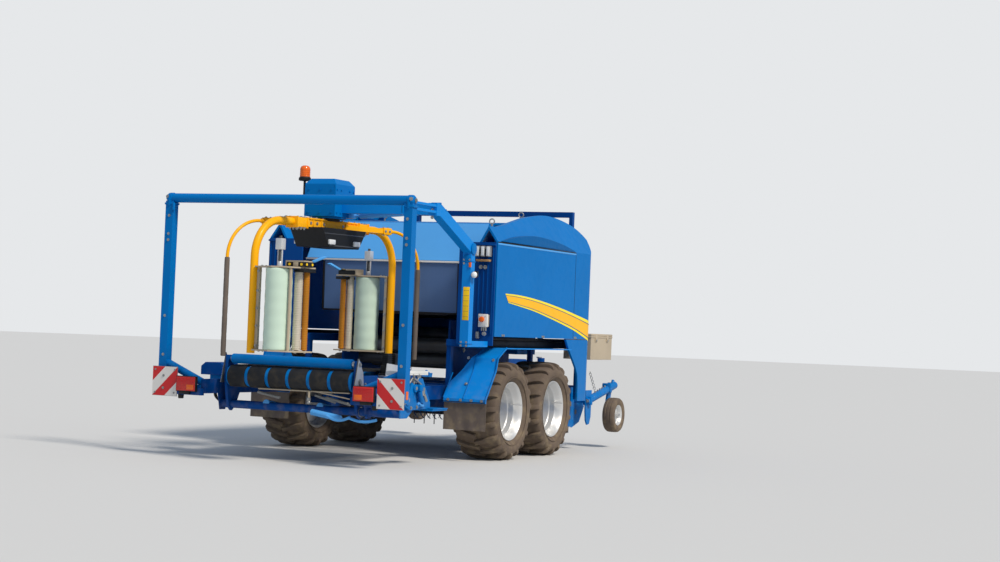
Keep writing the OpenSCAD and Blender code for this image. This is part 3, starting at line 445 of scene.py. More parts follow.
def lathe(bm, profile, matrix, steps=64):
    """Spins (radius, height) pairs once round the matrix's Z axis."""
    row = [bm.verts.new(matrix @ Vector((r, 0, z))) for r, z in profile]
    edges = [bm.edges.new(pair) for pair in zip(row, row[1:])]
    bmesh.ops.spin(bm, geom=row + edges, cent=matrix.translation, axis=matrix.to_3x3() @ Vector((0, 0, 1)),
                   angle=2 * math.pi, steps=steps, use_merge=True)
    bmesh.ops.remove_doubles(bm, verts=bm.verts, dist=1e-5)


def both_halves(half):
    """A profile and its mirror image past the middle; a point on the middle comes once."""
    return half + [(r, -w) for r, w in reversed(half) if w]


def along_y(centre, side=1):
    """Matrix whose Z axis stands on the centre and points to that side."""
    return Matrix.Translation(Vector(centre)) @ Matrix.Rotation(math.radians(-90 * side), 4, "X")


def prism(bm, outline, pull, round_off=0.0):
    """A flat outline pulled out along a vector."""
    face = bm.faces.new([bm.verts.new(p) for p in outline])
    made = bmesh.ops.extrude_face_region(bm, geom=[face])["geom"]
    far = [v for v in made if isinstance(v, bmesh.types.BMVert)]
    bmesh.ops.translate(bm, verts=far, vec=pull)
    if round_off:
        round_edges(bm, list({e for v in list(face.verts) + far for e in v.link_edges}), round_off)


def ring(bm, place, out, r, thick, sides=10, steps=32):
    """A closed round ring, such as an eye or a clip."""
    turn = Vector(out).to_track_quat("Z", "Y").to_matrix().to_4x4()
    around = [(r + thick * math.cos(k * 2 * math.pi / sides), thick * math.sin(k * 2 * math.pi / sides))
              for k in range(sides + 1)]
    lathe(bm, around, Matrix.Translation(Vector(place)) @ turn, steps)


def spring(bm, a, b, r, thick, turns):
    """A coil spring from a to b, as rings set at the wire's pitch."""
    a, b = Vector(a), Vector(b)
    for k in range(turns + 1):
        ring(bm, a + (b - a) * k / turns, b - a, r, thick, 6, 16)


def smooth_path(points, per=8):
    """A smooth line through the points."""
    points = [Vector(p) for p in points]
    line = []
    for i in range(len(points) - 1):
        a, b, c, d = points[max(i - 1, 0)], points[i], points[i + 1], points[min(i + 2, len(points) - 1)]
        for k in range(per):
            f = k / per
            line.append(b + f / 2 * (c - a + f * (2 * a - 5 * b + 4 * c - d + f * (3 * b - a - 3 * c + d))))
    return line + [points[-1]]


# Wheels

TYRE_R = 0.51
LUGS = 19
LUG_W = 0.052
LUG_ROUND = 0.005
# Place along the tread that stands at a lug's own angle, and how far its foot leans in.
LUG_MIDDLE = 0.057
LUG_LEAN = 0.012
# Radius on which a lug's places along the tread are measured.
LUG_ARC_R = TYRE_R - 0.02
# Outer half of the carcass from bead to crown: radius and distance from the tyre's middle.
CARCASS = [(0.287, 0.164), (0.292, 0.176), (0.307, 0.196), (0.332, 0.226), (0.37, 0.241), (0.406, 0.244),
           (0.44, 0.236), (0.459, 0.214), (0.469, 0.17), (0.4735, 0.1), (0.4745, 0.0)]
# Along a lug from the middle to the sidewall: place along the tread, width place, top radius, foot radius.
LUG_RUN = [(0.026, -0.012, 0.5098, 0.468), (0.048, 0.07, 0.5096, 0.467), (0.074, 0.15, 0.5075, 0.462),
           (0.084, 0.196, 0.501, 0.452), (0.088, 0.226, 0.488, 0.44), (0.09, 0.2405, 0.468, 0.43),
           (0.091, 0.2445, 0.443, 0.42)]
# Rings moulded on the sidewall: their radii and distance from the tyre's middle.
WALL_RINGS = (0.352, 0.392)
WALL_W = 0.2405


def lug(bm, turn, side):
    """One tread lug, bent over the shoulder."""
    grid = bmesh.ops.create_grid(bm, x_segments=2, y_segments=len(LUG_RUN) - 1, size=1)["verts"]
    across = {}
    for v in grid:
        step = round((v.co.y + 1) / 2 * (len(LUG_RUN) - 1))
        along, width, top, foot = LUG_RUN[step]
        phi = turn + (along + v.co.x * LUG_W / 2 - LUG_MIDDLE) / LUG_ARC_R
        across[v] = (phi, side * width, foot)
        v.co = (top * math.sin(phi), side * width, top * math.cos(phi))
    faces = list({f for v in grid for f in v.link_faces})
    made = bmesh.ops.extrude_face_region(bm, geom=faces)["geom"]
    tops = {v for v in made if isinstance(v, bmesh.types.BMVert)}
    for v, (phi, width, foot) in across.items():
        v.co = (foot * math.sin(phi), width - side * LUG_LEAN, foot * math.cos(phi))
    top_edges = [e for e in {e for v in tops for e in v.link_edges} if all(v in tops for v in e.verts)]
    rims = [e for e in top_edges if sum(all(v in tops for v in f.verts) for f in e.link_faces) == 1]
    round_edges(bm, rims, LUG_ROUND)


def draw_tyre(bm, hub):
    """A lugged tyre round its wheel's axis."""
    lathe(bm, both_halves(CARCASS), along_y((0, 0, 0)), 96)
    for side in (-1, 1):
        for i in range(LUGS):
            lug(bm, math.pi + (i + side / 4) * 2 * math.pi / LUGS, side)
        for r in WALL_RINGS:
            ring(bm, (0, side * WALL_W, 0), (0, 1, 0), r, 0.004, 6, 96)
    bmesh.ops.translate(bm, verts=bm.verts, vec=hub)


# Section of a wheel: radius and distance outwards from the tyre's middle, round its closed loop.
RIM = [(0.3055, 0.208), (0.3058, 0.2), (0.304, 0.196), (0.287, 0.184), (0.2858, 0.16), (0.256, 0.136),
       (0.255, -0.136), (0.2858, -0.16), (0.287, -0.184), (0.304, -0.196), (0.3058, -0.204), (0.299, -0.208),
       (0.279, -0.186), (0.27, -0.15), (0.245, -0.128), (0.244, -0.116), (0.15, -0.122), (0.0352, -0.122),
       (0.0352, -0.066), (0.055, -0.07), (0.12, -0.084), (0.19, -0.07), (0.225, -0.098), (0.242, -0.092),
       (0.244, 0.06), (0.25, 0.07), (0.25, 0.126), (0.265, 0.15), (0.274, 0.176), (0.295, 0.206),
       (0.3, 0.21), (0.3055, 0.208)]
HUB = [(0.0, 0.002), (0.05, 0.0), (0.062, -0.006), (0.066, -0.02), (0.068, -0.062), (0.095, -0.068),
       (0.098, -0.078), (0.0, -0.078)]
VALVE = Vector((0.232, 0, 0.06))
STUDS = 10
STUD_CIRCLE_R = 0.122
DISH_FACE = -0.0845


def draw_dish(bm, hub, side):
    """The rim with its dish and the valve."""
    out = Vector((0, side, 0))
    lathe(bm, RIM, along_y((0, 0, 0), side), 72)
    rod(bm, VALVE + out * 0.1, VALVE + out * 0.235, 0.006, sides=10)
    bmesh.ops.translate(bm, verts=bm.verts, vec=hub)


def draw_studs(bm, hub, side):
    """The nuts on the wheel's studs."""
    out = Vector((0, side, 0))
    for k in range(STUDS):
        a = k * 2 * math.pi / STUDS + 0.2
        place = Vector((STUD_CIRCLE_R * math.cos(a), 0, STUD_CIRCLE_R * math.sin(a)))
        bolt(bm, hub + out * DISH_FACE + place, out, 0.013, 0.016)


def draw_hub(bm, hub, side):
    """The hub's cap and flange."""
    lathe(bm, HUB, along_y(hub, side), 40)


for end in ("rear", "front"):
    for side, hand in SIDES:
        place = f"{end}_{hand}"
        body = "wheel_" + place
        centre = axis_of(body + "_spin")
        tread = make("tread_" + place, draw_tyre, rubber_tyre, body, centre, smooth=38)
        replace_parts(tread, "tyre_" + place)
        dish = make("dish_" + place, draw_dish, lacquer_silver, body, centre, side, smooth=30)
        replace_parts(dish, "rim_" + place)
        make("studs_" + place, draw_studs, zinc_steel, body, centre, side)
        make("hub_" + place, draw_hub, enamel_blue, body, centre, side)

# Half sections of a gauge wheel's ribbed tyre and of its hub.
GAUGE_TYRE = [(0.118, -0.055), (0.135, -0.068), (0.165, -0.0745), (0.19, -0.07), (0.2015, -0.055),
              (0.2045, -0.03), (0.2, -0.026), (0.2, -0.018), (0.2048, -0.014)]
GAUGE_HUB = [(0.021, -0.07), (0.04, -0.07), (0.045, -0.03), (0.09, -0.02), (0.1, -0.045), (0.122, -0.06),
             (0.119, -0.045), (0.108, 0.0)]


def draw_gauge(bm, half, centre, steps):
    """A closed section spun round the gauge wheel's axis."""
    lathe(bm, both_halves(half) + [half[0]], along_y(centre), steps)


for side, hand in SIDES:
    body = "gauge_" + hand
    centre = axis_of(body + "_spin")
    piece = make("gauge_tyre_" + hand, draw_gauge, rubber_tyre, body, GAUGE_TYRE, centre, 56)
    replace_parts(piece, "gauge_wheel_" + hand)
    make("gauge_hub_" + hand, draw_gauge, lacquer_silver, body, GAUGE_HUB, centre, 48)


# Hoods: striped panels, the brow above the seam, latches

HOOD_BODIES = ((-1, "hood_right_side"), (1, "hood_left_side"))
HOOD_LOW, HOOD_HIGH = box_of("hood_left")
PANEL_Y = HOOD_HIGH.y
CORNER_R = 0.22
CORNER_X = HOOD_HIGH.x - CORNER_R
# The stripe's upper and lower edge, by the photo's pixels on the right panel.
STRIPE_TOP = [(505.4, 293.6), (517.2, 295.0), (530.6, 297.9), (545.0, 302.3), (561.7, 308.6), (575.0, 314.4),
              (589.8, 321.2)]
STRIPE_LOW = [(508.4, 302.9), (520.6, 306.8), (533.9, 311.3), (547.2, 317.2), (561.7, 324.2), (575.0, 331.4),
              (589.8, 342.0)]
SHEET_T = 0.0008


def panel_y(x, proud):
    """Distance of the panel's surface from the centre line at x, round the front corner too."""
    past = max(0.0, x - CORNER_X)
    return PANEL_Y - CORNER_R + math.sqrt(max((CORNER_R + proud) ** 2 - past ** 2, 0))


def draw_band(bm, side, share_low, share_high, proud):
    """A band of the stripe between two shares of its height, as a thin sheet over the panel."""
    top = smooth_path([seen(u, v, 1, -PANEL_Y) for u, v in STRIPE_TOP])
    low = smooth_path([seen(u, v, 1, -PANEL_Y) for u, v in STRIPE_LOW])
    grid = bmesh.ops.create_grid(bm, x_segments=len(top) - 1, y_segments=1, size=1)["verts"]
    for v in grid:
        i = round((v.co.x + 1) / 2 * (len(top) - 1))
        p = low[i].lerp(top[i], share_high if v.co.y > 0 else share_low)
        v.co = (p.x, side * panel_y(p.x, proud), p.z)
    bm.normal_update()
    bmesh.ops.solidify(bm, geom=list(bm.faces), thickness=SHEET_T)


# Each band's name and finish, its shares of the stripe's height and how far it stands proud of the panel.
BANDS = (("stripe_edge", film_lemon, 0.0, 1.0, 0.0016),
         ("stripe_core", film_gold, 0.16, 0.8, 0.003),
         ("stripe_line_low", enamel_deep_and_painted_shade, 0.13, 0.165, 0.0044),
         ("stripe_line_top", enamel_deep_and_painted_shade, 0.8, 0.835, 0.0044))
for name, material, share_low, share_high, proud in BANDS:
    for side, body in HOOD_BODIES:
        make(f"{name}_{body}", draw_band, material, body, side, share_low, share_high, proud)

SEAM_Z = 2.25
SEAM_X = HOOD_LOW.x + 0.004
FLAT_END_X = 3.24
BROW_END_X = 3.22
BROW_DEPTH = 0.085
# Top of the overhang above the seam, from the back to the front.
BROW = [(1.19, 2.256), (1.45, 2.302), (1.69, 2.333), (2.05, 2.362), (2.4, 2.356), (2.78, 2.327),
        (3.02, 2.297), (BROW_END_X, 2.264)]
LATCHES_X = (1.33, 2.38, 3.3)


def draw_brow(bm, side):
    """The pressed overhang above the seam, which keeps rain off it."""
    y = side * (PANEL_Y - 0.001)
    top = smooth_path([(x, y, z) for x, z in BROW], 6)
    prism(bm, top + [Vector((BROW_END_X, y, SEAM_Z)), Vector((BROW[0][0], y, SEAM_Z))],
          (0, -side * BROW_DEPTH, 0), 0.008)


def draw_seam_lip(bm, side):
    """The folded upper edge of the lower panel."""
    y = side * PANEL_Y
    brick(bm, (SEAM_X, y - 0.004, SEAM_Z - 0.03), (FLAT_END_X, y + 0.004, SEAM_Z - 0.012))


def draw_seam(bm, side):
    """The seal in the seam, and the joint line down the panel's front end."""
    y = side * PANEL_Y
    brick(bm, (SEAM_X, y - 0.0025, SEAM_Z - 0.011), (FLAT_END_X, y + 0.0025, SEAM_Z + 0.001), 0.001)
    brick(bm, (FLAT_END_X, y - 0.0015, HOOD_LOW.z + 0.01), (FLAT_END_X + 0.006, y + 0.0015, SEAM_Z), 0.0006)


def draw_latches(bm, side):
    """Latches along the hood's lower edge."""
    y = side * PANEL_Y
    for x in LATCHES_X:
        brick(bm, (x - 0.035, y - 0.006, HOOD_LOW.z + 0.004), (x + 0.035, y + 0.006, HOOD_LOW.z + 0.026))
        bolt(bm, (x, side * (PANEL_Y + 0.005), HOOD_LOW.z + 0.015), (0, side, 0), 0.006, 0.004)


def draw_sill_strip(bm, side):
    """Rubber strips along the sill on which the hood comes down."""
    back, front = 1.135, 3.6
    brick(bm, (back, side * 1.165 - 0.012, 1.168), (front, side * 1.165 + 0.012, 1.236), 0.004)
    brick(bm, (back, side * 1.14 - 0.01, 1.236), (front, side * 1.14 + 0.01, 1.272), 0.004)


# The brow's darker blue is painted shade; the seam lip's lighter blue is a painted highlight.
for side, body in HOOD_BODIES:
    make("brow_" + body, draw_brow, enamel_brow_painted_shade, body, side)
    make("seam_lip_" + body, draw_seam_lip, enamel_painted_highlight, body, side)
    make("seam_" + body, draw_seam, plastic_black, body, side)
    make("latches_" + body, draw_latches, zinc_steel, body, side)
for side, hand in SIDES:
    make("sill_strip_" + hand, draw_sill_strip, plastic_black, "chassis", side)


# Portal: caps and flanges of the top tube, screws down the posts

POST_X = -0.8
POST_Y = 1.32
TUBE_Z = 2.52
TUBE_CAP = [(0.0, 0.022), (0.02, 0.02), (0.038, 0.01), (0.05, -0.004), (0.052, -0.02), (0.052, -0.05),
            (0.046, -0.052)]
POST_SCREWS_Z = (2.345, 2.165, 2.105, 1.36, 0.98)
BAR_SCREWS_Z = (0.655, 0.775)


def portal_caps(bm):
    for side in (-1, 1):
        lathe(bm, TUBE_CAP, along_y((POST_X, side * 1.352, TUBE_Z), side), 32)
        y = side * POST_Y
        brick(bm, (POST_X - 0.05, y - 0.055, 2.452), (POST_X + 0.05, y + 0.055, 2.472), 0.004)
        brick(bm, (POST_X - 0.056, y - 0.012, 2.44), (POST_X - 0.03, y + 0.012, 2.53), 0.004)
        rod(bm, (POST_X - 0.052, side * 1.265, 2.4), (POST_X - 0.052, side * 1.265, 2.47), 0.014, sides=16)


def portal_screws(bm):
    for side in (-1, 1):
        for z in POST_SCREWS_Z:
            bolt(bm, (POST_X - 0.0465, side * (POST_Y - 0.004), z), (-1, 0, 0), 0.009)
        bolt(bm, (POST_X - 0.048, side * 1.345, TUBE_Z + 0.012), (-1, side * 0.3, 0), 0.011, 0.01)
        bolt(bm, (POST_X, side * 1.374, TUBE_Z), (0, side, 0), 0.014)
        for z in BAR_SCREWS_Z:
            bolt(bm, (POST_X - 0.1025, side * 1.26, z), (-1, 0, 0), 0.008, 0.006)


make("portal_caps", portal_caps, enamel_blue, "chassis")
make("portal_screws", portal_screws, zinc_steel, "chassis")


# Gantry: knee disc, flange lines, label and marker lamp on the column

COLUMN_X = 0.6
COLUMN_Y = -1.272
COLUMN_BACK = 0.553
COLUMN_FRONT = 0.657
KNEE_Z = 2.145
LABEL_Z = (1.435, 1.765)
LABEL_LINES = 6
LAMP_Y = COLUMN_Y - 0.084
LAMP_Z = 1.888


def gantry_flanges(bm):
    rod(bm, (COLUMN_X, COLUMN_Y - 0.0475, KNEE_Z), (COLUMN_X, COLUMN_Y - 0.06, KNEE_Z), 0.058, sides=32,
        round_off=0.003)
    rod(bm, (0.5605, COLUMN_Y + 0.001, 2.06), (COLUMN_BACK, COLUMN_Y + 0.001, 2.06), 0.035, round_off=0.002)
    for z in (2.012, 1.192):
        brick(bm, (COLUMN_BACK, COLUMN_Y - 0.052, z), (COLUMN_FRONT, COLUMN_Y + 0.052, z + 0.014))
    for x, z in ((-0.17, 2.545), (-0.05, 2.49)):
        brick(bm, (x - 0.012, COLUMN_Y - 0.05, z - 0.016), (x + 0.012, COLUMN_Y + 0.05, z + 0.003))


def gantry_screws(bm):
    for z in (2.036, 2.0, 1.216, 1.182):
        for y in (-0.03, 0.03):
            bolt(bm, (0.5595, COLUMN_Y + y, z), (-1, 0, 0), 0.007, 0.006)
    for z in (2.4, 2.47):
        bolt(bm, (-0.251, COLUMN_Y, z), (-1, 0, 0))


def column_label(bm):
    brick(bm, (0.5575, COLUMN_Y - 0.044, LABEL_Z[0]), (0.5605, COLUMN_Y + 0.026, LABEL_Z[1]), 0.001)


def column_label_lines(bm):
    for k in range(LABEL_LINES):
        z = 1.47 + 0.052 * k
        brick(bm, (0.5565, COLUMN_Y - 0.038, z), (0.5578, COLUMN_Y + 0.02, z + 0.003), 0.0005)


def marker_arm(bm):
    rod(bm, (COLUMN_X, COLUMN_Y - 0.047, 1.905), (0.585, COLUMN_Y - 0.085, 1.885), 0.014, sides=16)
    brick(bm, (0.565, COLUMN_Y - 0.115, 1.865), (0.605, COLUMN_Y - 0.075, 1.925), 0.006)


def marker_lens(bm):
    turn = Matrix.Translation((0.566, LAMP_Y, LAMP_Z)) @ Matrix.Rotation(math.radians(-90), 4, "Y")
    lathe(bm, [(0.0, 0.03), (0.016, 0.027), (0.028, 0.016), (0.032, 0.0), (0.0, 0.0)], turn, 24)


def marker_red(bm):
    rod(bm, (0.604, LAMP_Y, LAMP_Z), (0.618, LAMP_Y, LAMP_Z), 0.028, 0.022, 20, 0.002)


make("gantry_flanges", gantry_flanges, enamel_blue, "chassis")
make("gantry_screws", gantry_screws, zinc_steel, "chassis")
make("column_label", column_label, label_yellow, "chassis")
make("column_label_lines", column_label_lines, card_brown, "chassis")
make("marker_arm", marker_arm, plastic_black, "chassis")
make("marker_lens", marker_lens, lens_clear, "chassis")
make("marker_red", marker_red, lens_red, "chassis")


# Bulkhead ahead of the column: ribs, three work lamps, latches and the control box

BULK_X = box_of("side_sills")[0].x
RIBS_Y = (1.165, 1.215, 1.262, 1.318)
WORK_LAMPS_Y = (-1.168, -1.228, -1.288)


def draw_bulkhead_ribs(bm, side):
    """Upright ribs and the top edge of the bulkhead."""
    for y in RIBS_Y:
        brick(bm, (BULK_X - 0.012, side * y - 0.007, 1.3), (BULK_X + 0.001, side * y + 0.007, 2.2), 0.004)
    y = side * 1.24
    brick(bm, (BULK_X - 0.02, y - 0.105, 2.205), (BULK_X + 0.001, y + 0.105, 2.225), 0.004)


def work_lamp_bodies(bm):
    for y in WORK_LAMPS_Y:
        brick(bm, (BULK_X - 0.075, y - 0.022, 2.09), (BULK_X - 0.018, y + 0.022, 2.2), 0.008)


def work_lamp_lenses(bm):
    for y in WORK_LAMPS_Y:
        brick(bm, (BULK_X - 0.082, y - 0.017, 2.098), (BULK_X - 0.074, y + 0.017, 2.192), 0.004)


def work_lamp_shelf(bm):
    brick(bm, (BULK_X - 0.07, -1.3, 2.04), (BULK_X - 0.012, -1.15, 2.062), 0.006)


def bulkhead_latches(bm):
    for y in (-1.185, -1.235):
        bolt(bm, (BULK_X - 0.012, y, 1.985), (-1, 0, 0), 0.013, 0.01)
    brick(bm, (BULK_X - 0.03, -1.2, 1.255), (BULK_X - 0.006, -1.165, 1.325), 0.004)


for side in (-1, 1):
    make(f"bulkhead_ribs_{side + 1}", draw_bulkhead_ribs, enamel_deep_and_painted_shade, "chassis", side)
make("work_lamp_bodies", work_lamp_bodies, zinc_steel, "chassis")
make("work_lamp_lenses", work_lamp_lenses, lens_clear, "chassis")
make("work_lamp_shelf", work_lamp_shelf, card_brown, "chassis")
make("bulkhead_latches", bulkhead_latches, zinc_steel, "chassis")

CASE_LOW, CASE_HIGH = box_of("control_box")
CASE_MIDDLE = (CASE_LOW + CASE_HIGH) / 2
LID_EDGE = 0.006
LID_SCREW_IN = 0.012
KNOB_Y = CASE_MIDDLE.y + 0.004
KNOB_Z = CASE_MIDDLE.z + 0.012


def control_lid(bm):
    brick(bm, CASE_LOW - Vector((LID_EDGE, LID_EDGE, LID_EDGE)),
          (CASE_LOW.x + 0.02, CASE_HIGH.y + LID_EDGE, CASE_HIGH.z + LID_EDGE), 0.005)
    for y in (CASE_LOW.y + LID_SCREW_IN, CASE_HIGH.y - LID_SCREW_IN):
        for z in (CASE_LOW.z + LID_SCREW_IN, CASE_HIGH.z - LID_SCREW_IN):
            bolt(bm, (CASE_LOW.x - LID_EDGE, y, z), (-1, 0, 0), 0.004, 0.003)


def control_knob(bm):
    lid, neck, face = CASE_LOW.x - LID_EDGE, CASE_LOW.x - 0.02, CASE_LOW.x - 0.042
    rod(bm, (lid, KNOB_Y, KNOB_Z), (neck, KNOB_Y, KNOB_Z), 0.024)
    rod(bm, (neck, KNOB_Y, KNOB_Z), (face, KNOB_Y, KNOB_Z), 0.03, 0.026, 28, 0.004)


def control_glands(bm):
    for y in (-0.022, 0.0, 0.022):
        place = (CASE_MIDDLE.x, CASE_MIDDLE.y + y)
        rod(bm, (*place, CASE_LOW.z), (*place, CASE_LOW.z - 0.045), 0.009, sides=14)
    place = (CASE_MIDDLE.y - 0.02, CASE_LOW.z - 0.075)
    rod(bm, (CASE_LOW.x + 0.01, *place), (CASE_LOW.x - 0.012, *place), 0.022, sides=20, round_off=0.003)


make("control_lid", control_lid, powder_white, "chassis")
make("control_knob", control_knob, lens_amber, "chassis")
make("control_glands", control_glands, zinc_steel, "chassis")


# Lifting eyes on the baler's top rails and behind the hoods

RAIL_EYES_X = (2.47, 3.05)
RAIL_Y = 0.997
HOOD_EYE_X = HOOD_LOW.x + 0.1
HOOD_EYE_Y = 1.225
EYE_AXIS = (1, 0.3, 0)


def lifting_eyes(bm):
    for x in RAIL_EYES_X:
        for y in (-RAIL_Y, RAIL_Y):
            rod(bm, (x, y, 2.558), (x, y, 2.59), 0.012, sides=14)
            ring(bm, (x, y, 2.612), EYE_AXIS, 0.026, 0.007, 8, 24)
    for y in (-HOOD_EYE_Y, HOOD_EYE_Y):
        rod(bm, (HOOD_EYE_X, y, 2.405), (HOOD_EYE_X, y, 2.44), 0.01, sides=12)
        ring(bm, (HOOD_EYE_X, y, 2.462), EYE_AXIS, 0.025, 0.007, 8, 24)


make("lifting_eyes", lifting_eyes, zinc_steel, "chassis")


# Tailgate: edging at the fold, lower panel in painted shade with rubber strips, upper panel in a painted sky
# reflection

GATE_W = 1.02
PANEL_W = 0.792
STRIP_Y = 0.805


def gate_edging(bm):
    brick(bm, (1.336, -1.03, 2.026), (1.352, 1.03, 2.046), 0.004)


def gate_lower_panel(bm):
    prism(bm, [(1.37, -PANEL_W, 1.505), (1.37, PANEL_W, 1.505), (1.3552, PANEL_W, 2.022),
               (1.3552, -PANEL_W, 2.022)], (-0.004, 0, 0))


def gate_rubbers(bm):
    for y in (-STRIP_Y, STRIP_Y):
        prism(bm, [(1.368, y - 0.012, 1.5), (1.368, y + 0.012, 1.5), (1.353, y + 0.012, 2.02),
                   (1.353, y - 0.012, 2.02)], (-0.01, 0, 0), 0.003)
    brick(bm, (1.352, -0.8, 1.49), (1.376, 0.8, 1.508), 0.004)


def gate_upper_panel(bm):
    prism(bm, [(1.358, -GATE_W, 2.05), (1.358, GATE_W, 2.05), (1.594, GATE_W, 2.4555),
               (1.594, -GATE_W, 2.4555)], (-0.0035, 0, 0.002))


make("gate_edging", gate_edging, powder_white, "tailgate")
make("gate_lower_panel", gate_lower_panel, enamel_gate_painted_shade, "tailgate")
make("gate_rubbers", gate_rubbers, plastic_black, "tailgate")
make("gate_upper_panel", gate_upper_panel, enamel_painted_highlight, "tailgate")


# Rotor: what is bolted to the arms is drawn along +X of an arm and turned to both

ARM_TURN = math.radians(173)
ARM_Z = 2.32
ARM_R = 1.14
# The safety arms stand ahead of the film arms by this angle; their hanging ends' radius and sleeves.
GUARD_TURN = math.radians(-14)
GUARD_R = 1.22
SLEEVE_LOW, SLEEVE_TOP, SLEEVE_R = 1.0, 1.94, 0.025
SLEEVE_PARTS = 5
# The roll beside its arm: how far it stands to the side, its lower and upper end and its radii.
FILM_S = 0.303
FILM_LOW = 1.08
FILM_TOP = 1.85
FILM_R = 0.128
FILM_RIDGES = 36
CORE_R = 0.046
# Places of the two stretching rollers.
PALE_X, PALE_Y = ARM_R - 0.11, FILM_S + 0.147
YELLOW_ROLLER_X, YELLOW_ROLLER_Y = ARM_R - 0.176, FILM_S + 0.188
ROLLER_RIBS = 46


def draw_turned(bm, draw, angle):
    """Draws a piece of the rotor and turns it about the rotor's axis."""
    draw(bm)
    bmesh.ops.rotate(bm, verts=bm.verts, cent=(0, 0, 0), matrix=Matrix.Rotation(angle, 3, "Z"))


def on_arms(name, draw, material, turn=0.0, stands_for=None):
    """A piece of each of the rotor's two arms."""
    for k in (0, 1):
        piece = make(f"{name}_{k}", draw_turned, material, "rotor", draw, ARM_TURN + turn + k * math.pi)
        if stands_for:
            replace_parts(piece, stands_for)


def arm_clamps(bm):
    """Clamp blocks that hold the bent tube to the middle bar."""
    brick(bm, (0.428, -0.066, ARM_Z - 0.05), (0.59, 0.066, ARM_Z + 0.046), 0.005)
    for x in (0.424, 0.586):
        brick(bm, (x, -0.074, ARM_Z - 0.058), (x + 0.01, 0.074, ARM_Z + 0.054))
    brick(bm, (0.12, -0.072, ARM_Z + 0.036), (0.4, 0.072, ARM_Z + 0.05))
    for x in (0.2, 0.33):
        brick(bm, (x, -0.07, ARM_Z - 0.036), (x + 0.01, 0.07, ARM_Z + 0.044), 0.002)
    for x in (0.745, 0.78):
        ring(bm, (x, 0, ARM_Z), (1, 0, 0), 0.036, 0.004, 6, 28)


def guard_clamps(bm):
    """Blocks at the ends of the bars that carry the safety arms."""
    brick(bm, (0.7, -0.036, ARM_Z - 0.046), (0.806, 0.036, ARM_Z + 0.024), 0.005)
    rod(bm, (0.8, 0, ARM_Z - 0.01), (0.84, 0, ARM_Z - 0.01), 0.023, round_off=0.003)


def arm_bolts(bm):
    """Bolts through the clamps and the middle bar."""
    for x in (0.455, 0.508, 0.561):
        for y in (-0.046, 0.046):
            rod(bm, (x, y, ARM_Z - 0.05), (x, y, ARM_Z - 0.074), 0.008, sides=12)
            bolt(bm, (x, y, ARM_Z - 0.05), (0, 0, -1), 0.014, 0.012)
            bolt(bm, (x, y, ARM_Z + 0.046), (0, 0, 1), 0.013, 0.009)
    for x in (0.16, 0.27, 0.37):
        for y in (-0.05, 0.05):
            bolt(bm, (x, y, ARM_Z + 0.05), (0, 0, 1))
            bolt(bm, (x, y * 1.22, ARM_Z), (0, y, 0), 0.01, 0.007)


def guard_bolts(bm):
    """Bolts of the safety arms' clamps."""
    for x in (0.725, 0.78):
        bolt(bm, (x, 0, ARM_Z + 0.024), (0, 0, 1))
        bolt(bm, (x, 0, ARM_Z - 0.046), (0, 0, -1))
        bolt(bm, (x, -0.036, ARM_Z - 0.01), (0, -1, 0), 0.009, 0.007)


def roller_gear_cover(bm):
    """Gear cover and bearings over the two stretching rollers."""
    brick(bm, (0.945, 0.335, FILM_TOP + 0.014), (1.085, 0.555, FILM_TOP + 0.062), 0.01)
    for x, y, r in ((PALE_X, PALE_Y, 0.04), (YELLOW_ROLLER_X, YELLOW_ROLLER_Y, 0.034)):
        rod(bm, (x, y, FILM_TOP + 0.06), (x, y, FILM_TOP + 0.07), r, sides=28, round_off=0.003)
    brick(bm, (ARM_R - 0.235, FILM_S + 0.13, FILM_TOP - 0.035),
          (ARM_R - 0.045, FILM_S + 0.25, FILM_TOP - 0.006), 0.006)


def roll_clamp(bm):
    """Silver sprung clamp that presses the roll down, with its guide."""
    brick(bm, (ARM_R - 0.034, FILM_S - 0.036, FILM_TOP + 0.17),
          (ARM_R + 0.034, FILM_S + 0.036, FILM_TOP + 0.275), 0.006)
    for y in (FILM_S - 0.022, FILM_S + 0.022):
        rod(bm, (ARM_R, y, FILM_TOP + 0.014), (ARM_R, y, FILM_TOP + 0.172), 0.008, sides=14)
    rod(bm, (ARM_R, FILM_S, FILM_TOP + 0.01), (ARM_R, FILM_S, FILM_TOP + 0.06), 0.028, 0.02, 24, 0.003)


def roll_spindle(bm):
    """The clamp's rod with its spring."""
    rod(bm, (ARM_R, FILM_S, FILM_TOP + 0.06), (ARM_R, FILM_S, FILM_TOP + 0.165), 0.011, sides=16)
    spring(bm, (ARM_R, FILM_S, FILM_TOP + 0.075), (ARM_R, FILM_S, FILM_TOP + 0.16), 0.017, 0.003, 8)
    rod(bm, (ARM_R, FILM_S, FILM_TOP + 0.275), (ARM_R, FILM_S, FILM_TOP + 0.3), 0.014, sides=16,
        round_off=0.003)


def card_core(bm):
    """Ends of the card core above and below the film."""
    for z in (FILM_LOW - 0.0095, FILM_TOP - 0.003):
        lathe(bm, [(0.038, 0.0), (CORE_R, 0.0), (CORE_R, 0.0125), (0.038, 0.0125), (0.038, 0.0)],
              Matrix.Translation((ARM_R, FILM_S, z)), 40)


